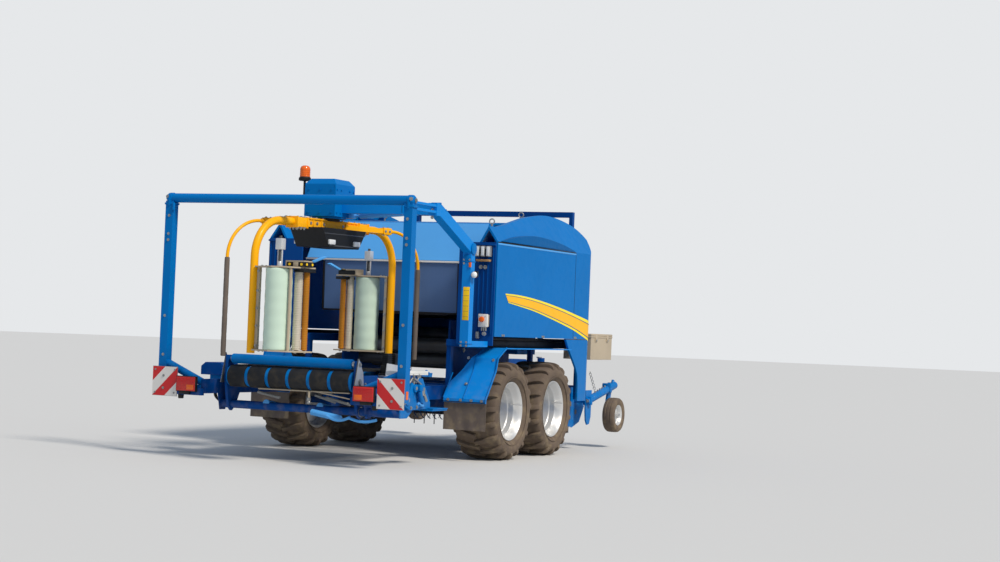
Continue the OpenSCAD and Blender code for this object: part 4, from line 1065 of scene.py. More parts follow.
def film_roll(bm):
    """The roll: stepped winding ends and faint winding ridges on its face."""
    face = []
    for k in range(FILM_RIDGES + 1):
        r = FILM_R - 0.0012 * (1 - math.cos(k * math.pi / 3)) - 0.0004 * (k % 2)
        face.append((r, FILM_LOW + 0.012 + 0.746 * k / FILM_RIDGES))
    foot = [(CORE_R, FILM_LOW - 0.006), (0.09, FILM_LOW - 0.004), (0.12, FILM_LOW),
            (FILM_R - 0.002, FILM_LOW + 0.005)]
    head = [(FILM_R - 0.002, FILM_TOP - 0.008), (0.12, FILM_TOP - 0.003), (0.09, FILM_TOP),
            (CORE_R, FILM_TOP + 0.002)]
    lathe(bm, foot + face + head + [foot[0]], Matrix.Translation((ARM_R, FILM_S, 0)), 72)


def ribbed_roller(bm, x, y, r):
    """A stretching roller whose rubber cover has fine rings."""
    low, high = FILM_LOW - 0.009, FILM_TOP + 0.009
    profile = [(0.0, low), (r * 0.45, low), (r * 0.45, low + 0.014), (r - 0.003, low + 0.016)]
    for k in range(ROLLER_RIBS + 1):
        z = low + 0.022 + (high - low - 0.044) * k / ROLLER_RIBS
        profile += [(r - 0.0025, z - 0.004), (r, z - 0.002), (r, z + 0.002), (r - 0.0025, z + 0.004)]
    profile += [(r - 0.003, high - 0.016), (r * 0.45, high - 0.014), (r * 0.45, high), (0.0, high)]
    lathe(bm, profile, Matrix.Translation((x, y, 0)), 40)


def roller_pale(bm):
    """The roller with a smooth pale cover."""
    ribbed_roller(bm, PALE_X, PALE_Y, 0.041)


def roller_yellow_painted_shade(bm):
    """The roller with a yellow rubber cover, painted darker amber as shade."""
    ribbed_roller(bm, YELLOW_ROLLER_X, YELLOW_ROLLER_Y, 0.031)


def plate_bolts(bm):
    """Bolts of the dispenser's upright and its two plates."""
    for z in (1.115, 1.3, 1.465, 1.63, 1.815):
        bolt(bm, (ARM_R - 0.03, 0.054, z), (-1, 0, 0), 0.01, 0.007)
        bolt(bm, (ARM_R, 0.054, z), (1, 0, 0), 0.009, 0.006)
    for x, y in ((0.99, 0.4), (1.05, 0.46), (0.96, 0.5), (1.11, 0.12), (1.17, 0.12)):
        bolt(bm, (x, y, FILM_TOP + 0.014), (0, 0, 1), 0.009, 0.006)
        bolt(bm, (x, y, FILM_LOW - 0.014), (0, 0, -1), 0.009, 0.006)


def gear_marks(bm):
    """Yellow caps on the gear cover and the bearings."""
    for x, y in ((PALE_X, PALE_Y), (YELLOW_ROLLER_X, YELLOW_ROLLER_Y)):
        rod(bm, (x, y, FILM_TOP + 0.069), (x, y, FILM_TOP + 0.074), 0.02, sides=20, round_off=0.001)
    z = FILM_TOP + 0.038
    for x in (0.972, 1.058):
        rod(bm, (x, 0.554, z), (x, 0.56, z), 0.012, sides=20)
    for y in (0.375, 0.515):
        rod(bm, (1.083, y, z), (1.089, y, z), 0.013, sides=20)


def gear_label(bm):
    """Blank label on the gear cover."""
    brick(bm, (1.0835, 0.418, FILM_TOP + 0.018), (1.0865, 0.476, FILM_TOP + 0.058), 0.001)


def cut_bar(bm):
    """Flat lever over the rollers that holds the film when it is cut."""
    prism(bm, [(0.93, 0.52, FILM_TOP + 0.06), (0.93, 0.548, FILM_TOP + 0.06), (0.8, 0.6, FILM_TOP + 0.118),
               (0.8, 0.56, FILM_TOP + 0.118)], (0.03, 0, 0.012), 0.003)


on_arms("arm_clamps", arm_clamps, enamel_yellow)
on_arms("guard_clamps", guard_clamps, enamel_yellow, GUARD_TURN)
on_arms("arm_bolts", arm_bolts, zinc_steel)
on_arms("guard_bolts", guard_bolts, zinc_steel, GUARD_TURN)
on_arms("roller_gear_cover", roller_gear_cover, plastic_black)
on_arms("roll_clamp", roll_clamp, lacquer_silver)
on_arms("roll_spindle", roll_spindle, bare_steel)
on_arms("card_core", card_core, card_brown)
on_arms("roller_pale", roller_pale, roller_cover, stands_for="stretch_rollers")
on_arms("roller_yellow_painted_shade", roller_yellow_painted_shade, rubber_yellow_painted_shade, stands_for="stretch_rollers")
on_arms("film_roll", film_roll, film_green, stands_for="film_rolls")
on_arms("plate_bolts", plate_bolts, zinc_steel)
on_arms("gear_marks", gear_marks, label_yellow)
on_arms("gear_label", gear_label, powder_beige)
# The cut bar's lighter blue is a painted highlight.
on_arms("cut_bar", cut_bar, enamel_painted_highlight)


def hub_lamps(bm):
    """Flat work lamps under the rotor's fairing, two on each long side."""
    for x in (-0.2, 0.215):
        for y in (-0.205, 0.205):
            brick(bm, (x - 0.05, y - 0.016, 2.12), (x + 0.05, y + 0.016, 2.17), 0.008)


def hub_seams(bm):
    """Folded seams along the fairing's long sides."""
    for y in (-0.2005, 0.2005):
        brick(bm, (-0.248, y - 0.003, 2.105), (0.248, y + 0.003, 2.117), 0.0015)
        brick(bm, (-0.33, y - 0.003, 2.222), (0.33, y + 0.003, 2.232), 0.0015)


def guard_sleeve(bm):
    """The foam sleeve over a safety arm's hanging end, with a rolled end and binding bands."""
    low, high, r = SLEEVE_LOW, SLEEVE_TOP, SLEEVE_R
    bands = [low + 0.02 + (high - low - 0.04) * k / SLEEVE_PARTS for k in range(SLEEVE_PARTS + 1)]
    profile = [(0.0, low), (r * 0.7, low), (r * 0.93, low + 0.006), (r * 0.98, low + 0.016)]
    for a, b in zip(bands, bands[1:]):
        profile += [(r * 0.95, a), (r * 0.95, a + 0.014), (r * 0.99, a + 0.03), (r, (a + b) / 2),
                    (r * 0.99, b - 0.012)]
    profile += [(r * 0.95, high - 0.014), (r * 0.93, high - 0.004), (r * 0.6, high), (0.0, high)]
    lathe(bm, profile, Matrix.Translation((GUARD_R, 0, 0)), 28)


make("hub_lamps", draw_turned, lens_clear, "rotor", hub_lamps, ARM_TURN)
make("hub_seams", draw_turned, bare_steel, "rotor", hub_seams, ARM_TURN)
on_arms("guard_sleeve", guard_sleeve, sleeve_grey, GUARD_TURN, stands_for="arm_sleeves")


# Hub housing and the drive on top of the gantry

HOUSING_SCREWS_Z = (2.665, 2.44)
DRIVE_X = 0.1
SEAL = [(0.112, 2.384), (0.168, 2.384), (0.172, 2.388), (0.172, 2.398), (0.112, 2.398), (0.112, 2.384)]


def housing_bolts(bm):
    for z in HOUSING_SCREWS_Z:
        for y in (-0.1755, 0.1755):
            for x in (-0.165, -0.085, 0.085, 0.165):
                bolt(bm, (x, y, z), (0, y, 0), 0.008, 0.006)
        for y in (-0.13, 0.0, 0.13):
            bolt(bm, (-0.1955, y, z), (-1, 0, 0), 0.008, 0.006)


def housing_trim(bm):
    """The bearing's seal below, the lid's edges and a raised plate on top."""
    lathe(bm, SEAL, Matrix(), 56)
    for y in (-0.17, 0.158):
        brick(bm, (-0.197, y, 2.69), (0.197, y + 0.012, 2.716))
    brick(bm, (-0.1, -0.1, 2.77), (0.1, 0.1, 2.775), 0.002)


def swing_cylinder(bm):
    rod(bm, (DRIVE_X, -0.3, 2.425), (DRIVE_X, -0.78, 2.455), 0.026, round_off=0.003)
    rod(bm, (DRIVE_X, -0.22, 2.42), (DRIVE_X, -0.3, 2.425), 0.012, sides=16)
    rod(bm, (DRIVE_X, -0.78, 2.455), (DRIVE_X, -0.9, 2.47), 0.016, sides=16)
    brick(bm, (0.04, -0.24, 2.4), (0.13, -0.2, 2.45), 0.004)
    brick(bm, (0.04, -0.93, 2.44), (0.13, -0.89, 2.5), 0.004)


make("housing_bolts", housing_bolts, enamel_blue, "chassis")
make("housing_trim", housing_trim, enamel_blue, "chassis")
# The swing cylinder's lighter blue is a painted highlight.
make("swing_cylinder", swing_cylinder, enamel_painted_highlight, "chassis")


# Beacon: ribbed dome on a black base and a short post

BEACON_AT = Matrix.Translation((-0.06, 0.26, 0))
DOME = [(0.0, 2.798), (0.05, 2.797), (0.0515, 2.802), (0.0515, 2.812), (0.05, 2.816), (0.0515, 2.82),
        (0.0515, 2.832), (0.05, 2.836), (0.0515, 2.84), (0.0515, 2.852), (0.05, 2.856), (0.0515, 2.86),
        (0.0515, 2.876), (0.048, 2.89), (0.038, 2.905), (0.02, 2.912), (0.0, 2.9145)]
BASE = [(0.0, 2.758), (0.05, 2.758), (0.0615, 2.763), (0.0618, 2.786), (0.056, 2.792), (0.052, 2.799),
        (0.0, 2.799)]
STEM = [(0.0, 2.602), (0.0125, 2.602), (0.0125, 2.755), (0.022, 2.757), (0.0, 2.758)]


def beacon_dome(bm):
    lathe(bm, DOME, BEACON_AT, 48)


def beacon_base(bm):
    lathe(bm, BASE, BEACON_AT, 48)
    lathe(bm, STEM, BEACON_AT, 24)
    brick(bm, (-0.082, 0.173, 2.599), (-0.038, 0.262, 2.621), 0.004)


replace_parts(make("beacon_dome", beacon_dome, lens_amber, "chassis"), "beacon")
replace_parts(make("beacon_base", beacon_base, plastic_black, "chassis"), "beacon")


# Belt table: drum ends, edges, belt cleats, rods and springs below

DRUM_X = 0.58
DRUM_Z = 0.8
STOP_X = -0.59
STOP_Z = 0.968
TABLE_SIDE = 0.7325
DRUM_END = 0.7405
BELTS_Y = (-0.575, -0.345, -0.115, 0.115, 0.345, 0.575)
BELT_W = 0.176
CLEATS = 28
BALL = (-0.65, -0.236, 0.585)
TABLE_SPRINGS = (((-0.6, -0.28, 0.655), (-0.6, -0.5, 0.6), 26),
                 ((-0.6, -0.4, 0.64), (-0.6, -0.66, 0.585), 30),
                 ((-0.6, 0.36, 0.655), (-0.6, 0.12, 0.612), 26))


def drum_nuts(bm):
    for side in (-1, 1):
        for x, z, r in ((-DRUM_X, DRUM_Z, 0.034), (DRUM_X, DRUM_Z, 0.034), (STOP_X, STOP_Z, 0.026)):
            rod(bm, (x, side * DRUM_END, z), (x, side * 0.7465, z), r, sides=28, round_off=0.002)
            rod(bm, (x, side * 0.7465, z), (x, side * 0.756, z), r * 0.6, sides=6)
        rod(bm, (STOP_X, side * 0.668, STOP_Z), (STOP_X, side * 0.69, STOP_Z), 0.03, 0.024, 28, 0.003)
        for x, z in ((-0.45, 0.78), (-0.2, 0.8), (0.05, 0.8), (0.3, 0.8)):
            bolt(bm, (x, side * TABLE_SIDE, z), (0, side, 0))


def table_rims(bm):
    """Edge strips beside the belts, and the cross tubes under them."""
    for side in (-1, 1):
        brick(bm, (-0.5, side * 0.714 - 0.012, 0.815), (0.52, side * 0.714 + 0.012, 0.862), 0.005)
    for x in (-0.3, 0.3):
        rod(bm, (x, -0.702, 0.765), (x, 0.702, 0.765), 0.024)


def belt_cleats_flat(bm):
    for y in BELTS_Y:
        for k in range(CLEATS):
            x = -0.565 + 1.13 * k / (CLEATS - 1)
            brick(bm, (x - 0.004, y - BELT_W / 2, 0.9075), (x + 0.004, y + BELT_W / 2, 0.9115), 0.001)


def table_rods(bm):
    """The long rod under the stop roller with its crank and strut."""
    rod(bm, (-0.64, 0.335, 0.69), (-0.64, -0.672, 0.694), 0.0065, sides=10)
    rod(bm, (-0.64, -0.3, 0.692), (-0.64, -0.672, 0.64), 0.006, sides=10)
    rod(bm, (-0.65, -0.236, 0.69), (-0.65, -0.236, 0.59), 0.012, 0.01, 12)


def rod_end(bm):
    """Ball and block at the crank's foot."""
    bmesh.ops.create_uvsphere(bm, u_segments=16, v_segments=10, radius=0.02, matrix=Matrix.Translation(BALL))
    brick(bm, (-0.666, -0.252, 0.6), (-0.634, -0.22, 0.632), 0.004)


def pivot_caps(bm):
    for side in (-1, 1):
        bolt(bm, (-0.52, side * TABLE_SIDE, 0.52), (0, side, 0), 0.03, 0.01)


make("drum_nuts", drum_nuts, zinc_steel, "table")
# The rims' deep blue is painted shade under the bale.
make("table_rims", table_rims, enamel_deep_and_painted_shade, "table")
make("belt_cleats_flat", belt_cleats_flat, rubber_belt, "table")
make("table_rods", table_rods, powder_beige, "table")
make("rod_end", rod_end, zinc_steel, "table")
for i, (a, b, turns) in enumerate(TABLE_SPRINGS):
    make(f"table_spring_{i}", spring, zinc_steel, "table", a, b, 0.013, 0.0028, turns)
make("pivot_caps", pivot_caps, zinc_steel, "table")


# Film clamps: silver bodies under two black rubber jaws each, and steel faces on the table's guides

JAWS_X = (-0.16, 0.0)
JAW_RIBS = 4


def clamp_ribs(bm):
    for x in JAWS_X:
        brick(bm, (x - 0.012, -0.8, 0.884), (x + 0.102, -0.74, 0.962), 0.006)
        for k in range(JAW_RIBS):
            z = 1.0 + 0.018 * k
            brick(bm, (x - 0.004, -0.818, z), (x + 0.094, -0.746, z + 0.006), 0.002)


def clamp_bodies(bm):
    y = -0.822
    prism(bm, [(-0.205, y, 0.862), (0.125, y, 0.862), (0.11, y, 0.96), (-0.18, y, 0.985)],
          (0, 0.01, 0), 0.002)
    brick(bm, (-0.2, -0.818, 0.856), (0.12, -0.735, 0.868), 0.004)


def guide_faces(bm):
    for side in (-1, 1):
        y = side * DRUM_END
        prism(bm, [(-0.688, y, 0.735), (-0.614, y, 1.024), (-0.52, y, 0.893), (-0.494, y, 0.735)],
              (0, side * 0.0035, 0), 0.001)


make("clamp_ribs", clamp_ribs, plastic_black, "table")
make("clamp_bodies", clamp_bodies, lacquer_silver, "table")
make("guide_faces", guide_faces, lacquer_silver, "table")


# Right-hand control group behind the rear post: white tray on posts, cast lever group, foot plate

TRAY_BACK, TRAY_FRONT = -0.716, -0.078
LEVER_Y = -1.205
# Outline of the cast lever group, seen from the side.
CASTING = [(-0.6, 0.8), (-0.545, 0.812), (-0.5, 0.74), (-0.455, 0.7), (-0.42, 0.76), (-0.385, 0.82),
           (-0.335, 0.8), (-0.345, 0.7), (-0.3, 0.64), (-0.22, 0.6), (-0.24, 0.56), (-0.42, 0.555),
           (-0.52, 0.6), (-0.59, 0.7)]
# The two pivots of the levers: place along the machine and height.
PIVOT_LOW = (-0.475, 0.655)
PIVOT_TOP = (-0.33, 0.765)


def tray_bars(bm):
    brick(bm, (TRAY_BACK, -1.212, 0.902), (TRAY_FRONT, -1.176, 0.928), 0.005)
    brick(bm, (TRAY_BACK, -1.146, 0.902), (TRAY_FRONT, -1.108, 0.928), 0.005)
    for x in (TRAY_BACK, TRAY_FRONT - 0.016):
        brick(bm, (x, -1.214, 0.888), (x + 0.016, -1.106, 0.93))
    for x in (-0.62, -0.5, -0.38, -0.26):
        brick(bm, (x - 0.008, -1.21, 0.892), (x + 0.008, -1.11, 0.912), 0.002)


def tray_posts(bm):
    for x, z in ((-0.56, 0.79), (-0.43, 0.8), (-0.3, 0.8), (-0.18, 0.862)):
        rod(bm, (x, -1.172, z), (x, -1.172, 0.892), 0.012, sides=16)
        rod(bm, (x, -1.172, z + 0.012), (x, -1.172, z + 0.04), 0.019, sides=6)
        rod(bm, (x, -1.13, z + 0.01), (x, -1.13, 0.892), 0.009, sides=14)
    for x in (-0.545, -0.415, -0.285):
        rod(bm, (x, -1.19, 0.815), (x + 0.05, -1.19, 0.86), 0.008, sides=12)


def lever_casting(bm):
    prism(bm, [(x, LEVER_Y, z) for x, z in CASTING], (0, 0.026, 0), 0.006)
    for (x, z), out, back, r, sides, edge in ((PIVOT_LOW, -1.215, -1.16, 0.052, 32, 0.005),
                                              (PIVOT_TOP, -1.22, -1.15, 0.038, 28, 0.004)):
        rod(bm, (x, out, z), (x, back, z), r, sides=sides, round_off=edge)
    rod(bm, (-0.25, -1.215, 0.74), (-0.205, -1.215, 0.63), 0.026, 0.02, 24, 0.004)
    brick(bm, (-0.285, -1.24, 0.735), (-0.205, -1.18, 0.8), 0.014)
    brick(bm, (-0.01, -1.245, 0.556), (0.322, -1.055, 0.566))
    brick(bm, (-0.01, -1.245, 0.54), (0.004, -1.055, 0.566))


def lever_pins(bm):
    for (x, z), out, r in ((PIVOT_LOW, -1.22, 0.024), (PIVOT_TOP, -1.226, 0.018)):
        rod(bm, (x, out, z), (x, out + 0.008, z), r, sides=6)
    for x, z in ((-0.57, 0.735), (-0.53, 0.63), (-0.4, 0.58), (-0.28, 0.585)):
        bolt(bm, (x, LEVER_Y, z), (0, -1, 0), 0.011, 0.009)
    rod(bm, (-0.335, -1.196, 0.86), (-0.19, -1.196, 0.8), 0.011, sides=14)
    rod(bm, (-0.6, -1.185, 0.83), (-0.6, -1.185, 0.7), 0.009, sides=12)
    brick(bm, (-0.205, -1.222, 0.69), (-0.13, -1.175, 0.775), 0.016)
    rod(bm, (-0.165, -1.225, 0.7), (-0.115, -1.225, 0.64), 0.015, sides=16, round_off=0.003)


make("tray_bars", tray_bars, powder_white, "chassis")
make("tray_posts", tray_posts, zinc_steel, "chassis")
make("lever_casting", lever_casting, enamel_blue, "chassis")
make("lever_pins", lever_pins, zinc_steel, "chassis")
# The first pipe's lighter blue is a painted highlight.
# Short bent pipes that are clipped to the casting all the way: points, radius and finish.
LEVER_LINES = (
    (((-0.245, -1.185, 0.565), (-0.235, -1.2, 0.62), (-0.19, -1.21, 0.6), (-0.12, -1.19, 0.6),
      (-0.08, -1.12, 0.66)), 0.011, enamel_painted_highlight),
    (((-0.59, -1.18, 0.7), (-0.56, -1.19, 0.66), (-0.52, -1.2, 0.74), (-0.47, -1.19, 0.83),
      (-0.43, -1.18, 0.8)), 0.008, plastic_black))
for i, (points, r, material) in enumerate(LEVER_LINES):
    curve_piece(f"lever_line_{i}", smooth_path(points), r, "chassis", material)


# Reflectors, tail lamps and warning plates at the rear

TAIL_Y = (0.87, 1.085)
TAIL_RIBS = 9
PLATE_Y = (1.103, 1.385)


def reflectors_amber(bm):
    for side in (-1, 1):
        brick(bm, (-0.822, side * 1.3635 - 0.003, 0.672), (-0.778, side * 1.3635 + 0.003, 0.748), 0.002)
    brick(bm, (0.548, -1.324, 1.962), (0.56, -1.3, 2.01), 0.002)


def lamp_ribs(bm):
    for side in (-1, 1):
        y0, y1 = sorted(side * y for y in TAIL_Y)
        brick(bm, (-0.938, y0 + 0.004, 0.644), (-0.932, y1 - 0.004, 0.771), 0.002)
        for k in range(TAIL_RIBS):
            z = 0.654 + 0.0128 * k
            brick(bm, (-0.9405, y0 + 0.01, z), (-0.9372, y1 - 0.01, z + 0.005), 0.001)


def lamp_amber(bm):
    for y in (-0.925, 0.925):
        brick(bm, (-0.9415, y - 0.04, 0.652), (-0.9385, y + 0.04, 0.7), 0.001)


def lamp_frames(bm):
    """Rubber frames round the tail lamps, with their feet."""
    for side in (-1, 1):
        y0, y1 = sorted((side * (TAIL_Y[0] - 0.004), side * (TAIL_Y[1] + 0.004)))
        for z in (0.634, 0.775):
            brick(bm, (-0.936, y0, z - 0.001), (-0.898, y1, z + 0.007), 0.002)
        for y in (y0, y1 - 0.006):
            brick(bm, (-0.936, y, 0.636), (-0.898, y + 0.006, 0.78), 0.002)
        brick(bm, (-0.93, side - 0.06, 0.605), (-0.9, side + 0.06, 0.634), 0.004)


def plate_backs(bm):
    """Steel sheets behind the warning plates, and the plates' screws."""
    for side in (-1, 1):
        y0, y1 = sorted(side * y for y in PLATE_Y)
        brick(bm, (-0.8985, y0 - 0.003, 0.577), (-0.894, y1 + 0.003, 0.865), 0.001)
        for y in (y0 + 0.03, y1 - 0.03):
            for z in (0.61, 0.832):
                bolt(bm, (-0.902, y, z), (-1, 0, 0), 0.006, 0.003)


def buffers(bm):
    for side in (-1, 1):
        rod(bm, (-0.87, side * 1.07, 0.6), (-0.87, side * 1.07, 0.56), 0.03, 0.026, 20, 0.004)


make("reflectors_amber", reflectors_amber, lens_amber, "chassis")
make("lamp_ribs", lamp_ribs, lens_red, "chassis")
make("lamp_amber", lamp_amber, lens_amber, "chassis")
make("lamp_frames", lamp_frames, plastic_black, "chassis")
make("plate_backs", plate_backs, zinc_steel, "chassis")
make("buffers", buffers, plastic_black, "chassis")


# Cylinders and pipes on the frame under the table

# Each pipe's ends across the machine, its height and how far it sags.
CROSS_PIPES = ((-0.55, -0.8, 0.48, 0.03), (-0.8, -1.08, 0.47, 0.02))
PIPE_END_X = -0.845
PIPE_MIDDLE_X = -0.85


def tilt_cylinders(bm):
    for a, b, r in (((-0.7, -0.3, 0.5), (-0.7, -0.62, 0.455), 0.03),
                    ((-0.55, 0.3, 0.55), (-0.2, 0.3, 0.5), 0.036),
                    ((-0.55, -0.3, 0.55), (-0.2, -0.3, 0.5), 0.036)):
        rod(bm, a, b, r, sides=28, round_off=0.004)


# The cylinders' and pipes' lighter blue is a painted highlight.
make("tilt_cylinders", tilt_cylinders, enamel_painted_highlight, "chassis")
for i, (y0, y1, z, sag) in enumerate(CROSS_PIPES):
    points = [(PIPE_END_X, y0, z), (PIPE_MIDDLE_X, (y0 * 2 + y1) / 3, z - sag),
              (PIPE_MIDDLE_X, (y0 + y1 * 2) / 3, z - sag), (PIPE_END_X, y1, z)]
    curve_piece(f"cross_pipe_{i}", smooth_path(points), 0.014, "chassis", enamel_painted_highlight)


# Fenders: rib along the fold, edging, screws, clamp strip; rubber flaps with folds

FOLD_Y = 1.13
EDGE_Y = 1.3805
INNER_Y = 0.908
# The fold and the outer edge from the flap up to the top: place along the machine and height.
FOLD_RUN = ((0.902, 0.64), (1.128, 0.932), (1.168, 1.06), (1.368, 1.166))
EDGE_RUN = ((0.899, 0.602), (0.899, 0.64), (1.126, 0.932), (1.166, 1.062), (1.368, 1.168))
FOOT_SCREWS_Y = (0.96, 1.1, 1.22, 1.335)


def draw_fender_ribs(bm, side):
    for run, y, r in ((FOLD_RUN, FOLD_Y, 0.007), (EDGE_RUN, EDGE_Y, 0.008)):
        line = [(x, side * y, z) for x, z in run]
        for a, b in zip(line, line[1:]):
            rod(bm, a, b, r, sides=12)
    rod(bm, (0.9, side * INNER_Y, 0.645), (1.1, side * INNER_Y, 0.895), 0.006, sides=10)


def draw_fender_bolts(bm, side):
    for y in FOOT_SCREWS_Y:
        bolt(bm, (0.9045, side * y, 0.625), (-1, 0, 0), 0.01, 0.007)
    for x, y, z, out in ((1.012, 1.105, 0.79, (-0.8, 0, 0.6)), (1.165, 1.33, 1.04, (-0.95, 0, 0.3)),
                         (1.165, 1.05, 1.052, (-0.95, 0, 0.3))):
        bolt(bm, (x, side * y, z), out, 0.01, 0.007)


def draw_flap_strip(bm, side):
    brick(bm, (0.9, side * 1.145 - 0.238, 0.604), (0.9045, side * 1.145 + 0.238, 0.612), 0.002)


for side in (-1, 1):
    make(f"fender_ribs_{side + 1}", draw_fender_ribs, enamel_blue, "chassis", side)
    make(f"fender_bolts_{side + 1}", draw_fender_bolts, zinc_steel, "chassis", side)
    make(f"flap_strip_{side + 1}", draw_flap_strip, plastic_black, "chassis", side)

FLAP_X = 0.9195
FLAP_INNER, FLAP_OUTER = 0.91, 1.38
FLAP_FOOT = box_of("flaps")[0].z + 0.002
FLAP_TOP = 0.634
FLAP_T = 0.006


def draw_flap(bm, side):
    """A rubber sheet with soft folds that grow towards its foot, and one crease near the top."""
    grid = bmesh.ops.create_grid(bm, x_segments=60, y_segments=36, size=1)["verts"]
    for v in grid:
        s, t = (v.co.x + 1) / 2, (v.co.y + 1) / 2
        free = 1 - t
        wave = 0.0035 * math.sin(9.5 * s + 0.8) * free
        wave += 0.005 * math.exp(-((s - 0.36 + 0.1 * t) / 0.035) ** 2) * t ** 2
        wave += 0.0025 * math.sin(22 * s + 3 * t) * free ** 2
        y = FLAP_INNER + (FLAP_OUTER - FLAP_INNER) * s
        v.co = (FLAP_X - wave, side * y, FLAP_FOOT + (FLAP_TOP - FLAP_FOOT) * t)
    bm.normal_update()
    bmesh.ops.solidify(bm, geom=list(bm.faces), thickness=FLAP_T)


for side, hand in SIDES:
    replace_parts(make("flap_" + hand, draw_flap, rubber_flap, "chassis", side, smooth=60), "flaps")


# Pick-up: spring tines in pairs on their bars, strippers between them

REEL = axis_of("reel_turn")
REEL_W = 0.98
REEL_BARS = 4
BAR_CIRCLE_R = 0.15
TINES = 28
TINES_W = 0.945
STRIPPERS = 24
STRIPPERS_W = 0.93
STRIPPER_R = 0.19
STRIPPER_STEPS = 10


def bar_angles():
    """Angles of the reel's tine bars round its axis."""
    return [math.pi / 4 + k * 2 * math.pi / REEL_BARS for k in range(REEL_BARS)]


def reel_bars(bm):
    for a in bar_angles():
        bar = REEL + Vector((BAR_CIRCLE_R * math.cos(a), 0, BAR_CIRCLE_R * math.sin(a)))
        rod(bm, (bar.x, -REEL_W, bar.z), (bar.x, REEL_W, bar.z), 0.016, sides=14)
    for y in (-0.95, -0.32, 0.32, 0.95):
        rod(bm, (REEL.x, y - 0.004, REEL.z), (REEL.x, y + 0.004, REEL.z), 0.172, sides=40, round_off=0.001)


def reel_tines(bm):
    for a in bar_angles():
        out = Vector((math.cos(a), 0, math.sin(a)))
        along = Vector((-math.sin(a), 0, math.cos(a)))
        for i in range(TINES):
            y = -TINES_W + 2 * TINES_W * i / (TINES - 1)
            foot = REEL + out * BAR_CIRCLE_R + Vector((0, y, 0))
            bend = foot + out * 0.045 + along * 0.012
            tip = foot + out * 0.098 - along * 0.02
            rod(bm, foot, bend, 0.0032, sides=6)
            rod(bm, bend, tip, 0.0032, 0.0026, 6)


def reel_strippers(bm):
    turns = [math.radians(100 + 155 * k / STRIPPER_STEPS) for k in range(STRIPPER_STEPS + 1)]
    for i in range(STRIPPERS):
        y = -STRIPPERS_W + 2 * STRIPPERS_W * i / (STRIPPERS - 1)
        line = [Vector((REEL.x + STRIPPER_R * math.cos(a), y, REEL.z + STRIPPER_R * math.sin(a)))
                for a in turns]
        for a, b in zip(line, line[1:]):
            rod(bm, a, b, 0.006, sides=6)


make("reel_bars", reel_bars, bare_steel, "reel")
make("reel_tines", reel_tines, zinc_steel, "reel")
make("reel_strippers", reel_strippers, enamel_deep_and_painted_shade, "pickup")


# Gauge arms: pins, clamps and height chains at both sides

GAUGE_Y = 1.25
PIN_HOLES = 6
PIN_STEP = 0.075
ARM_SLOPE = 0.2033
CHAIN_LINKS = 11


def draw_gauge_pins(bm, side):
    for x, z in ((3.97, 0.57), (4.13, 0.6)):
        rod(bm, (x, side * 1.258, z), (x, side * 1.272, z), 0.03, sides=6)
        rod(bm, (x, side * 1.272, z), (x, side * 1.29, z), 0.018, sides=16)
    for k in range(PIN_HOLES):
        x = 4.25 + PIN_STEP * k
        z = 0.557 + (x - 3.96) * ARM_SLOPE
        rod(bm, (x, side * GAUGE_Y, z + 0.04), (x, side * GAUGE_Y, z + 0.062), 0.01, sides=12)
    rod(bm, (4.72, side * 1.226, 0.39), (4.72, side * 1.24, 0.39), 0.026, sides=6)


def draw_gauge_clamps(bm, side):
    y = side * GAUGE_Y
    brick(bm, (4.6, y - 0.055, 0.655), (4.66, y + 0.055, 0.765), 0.01)
    brick(bm, (3.99, y - 0.052, 0.52), (4.05, y + 0.052, 0.62), 0.01)
    rod(bm, (4.78, y, 0.722), (4.82, y, 0.8), 0.018, sides=18, round_off=0.003)


def draw_height_chain(bm, side):
    low, high = Vector((4.3, side * 1.225, 0.68)), Vector((4.24, side * 1.175, 0.9))
    for k in range(CHAIN_LINKS):
        place = low.lerp(high, (k + 0.5) / CHAIN_LINKS)
        ring(bm, place, (1, 0.2, 0) if k % 2 else (0, 1, 0.1), 0.013, 0.003, 6, 14)


for side, hand in SIDES:
    make("gauge_pins_" + hand, draw_gauge_pins, zinc_steel, "pickup", side)
    make("gauge_clamps_" + hand, draw_gauge_clamps, enamel_blue, "pickup", side)
    make("height_chain_" + hand, draw_height_chain, zinc_steel, "pickup", side)


# Tool box, gearbox and jack

TOOL_BACK, TOOL_FRONT = 3.944, 4.626
TOOL_OUTER, TOOL_INNER = -1.296, -0.944
LATCH_X = (4.1, 4.46)
HINGE_X = (4.02, 4.28, 4.54)
GEAR_LOW = box_of("gearbox")[0].z
JACK_LOW, JACK_HIGH = box_of("jack_tube")


def tool_box_lid(bm):
    brick(bm, (TOOL_BACK, TOOL_OUTER, 1.3), (TOOL_FRONT, TOOL_INNER, 1.32), 0.005)
    brick(bm, (TOOL_BACK, TOOL_OUTER, 1.32), (TOOL_FRONT, TOOL_INNER, 1.346), 0.009)
    for x in LATCH_X:
        brick(bm, (x - 0.03, -1.3, 1.255), (x + 0.03, -1.288, 1.335), 0.004)


def tool_box_latches(bm):
    for x in LATCH_X:
        rod(bm, (x, -1.3, 1.27), (x, -1.306, 1.27), 0.012, sides=20)
    for x in HINGE_X:
        brick(bm, (x - 0.02, -0.952, 1.3), (x + 0.02, -0.94, 1.33))


def gearbox_ribs(bm):
    for x in (3.775, 3.85, 3.925, 4.0):
        brick(bm, (x, -0.136, GEAR_LOW + 0.015), (x + 0.012, 0.136, GEAR_LOW + 0.245), 0.004)


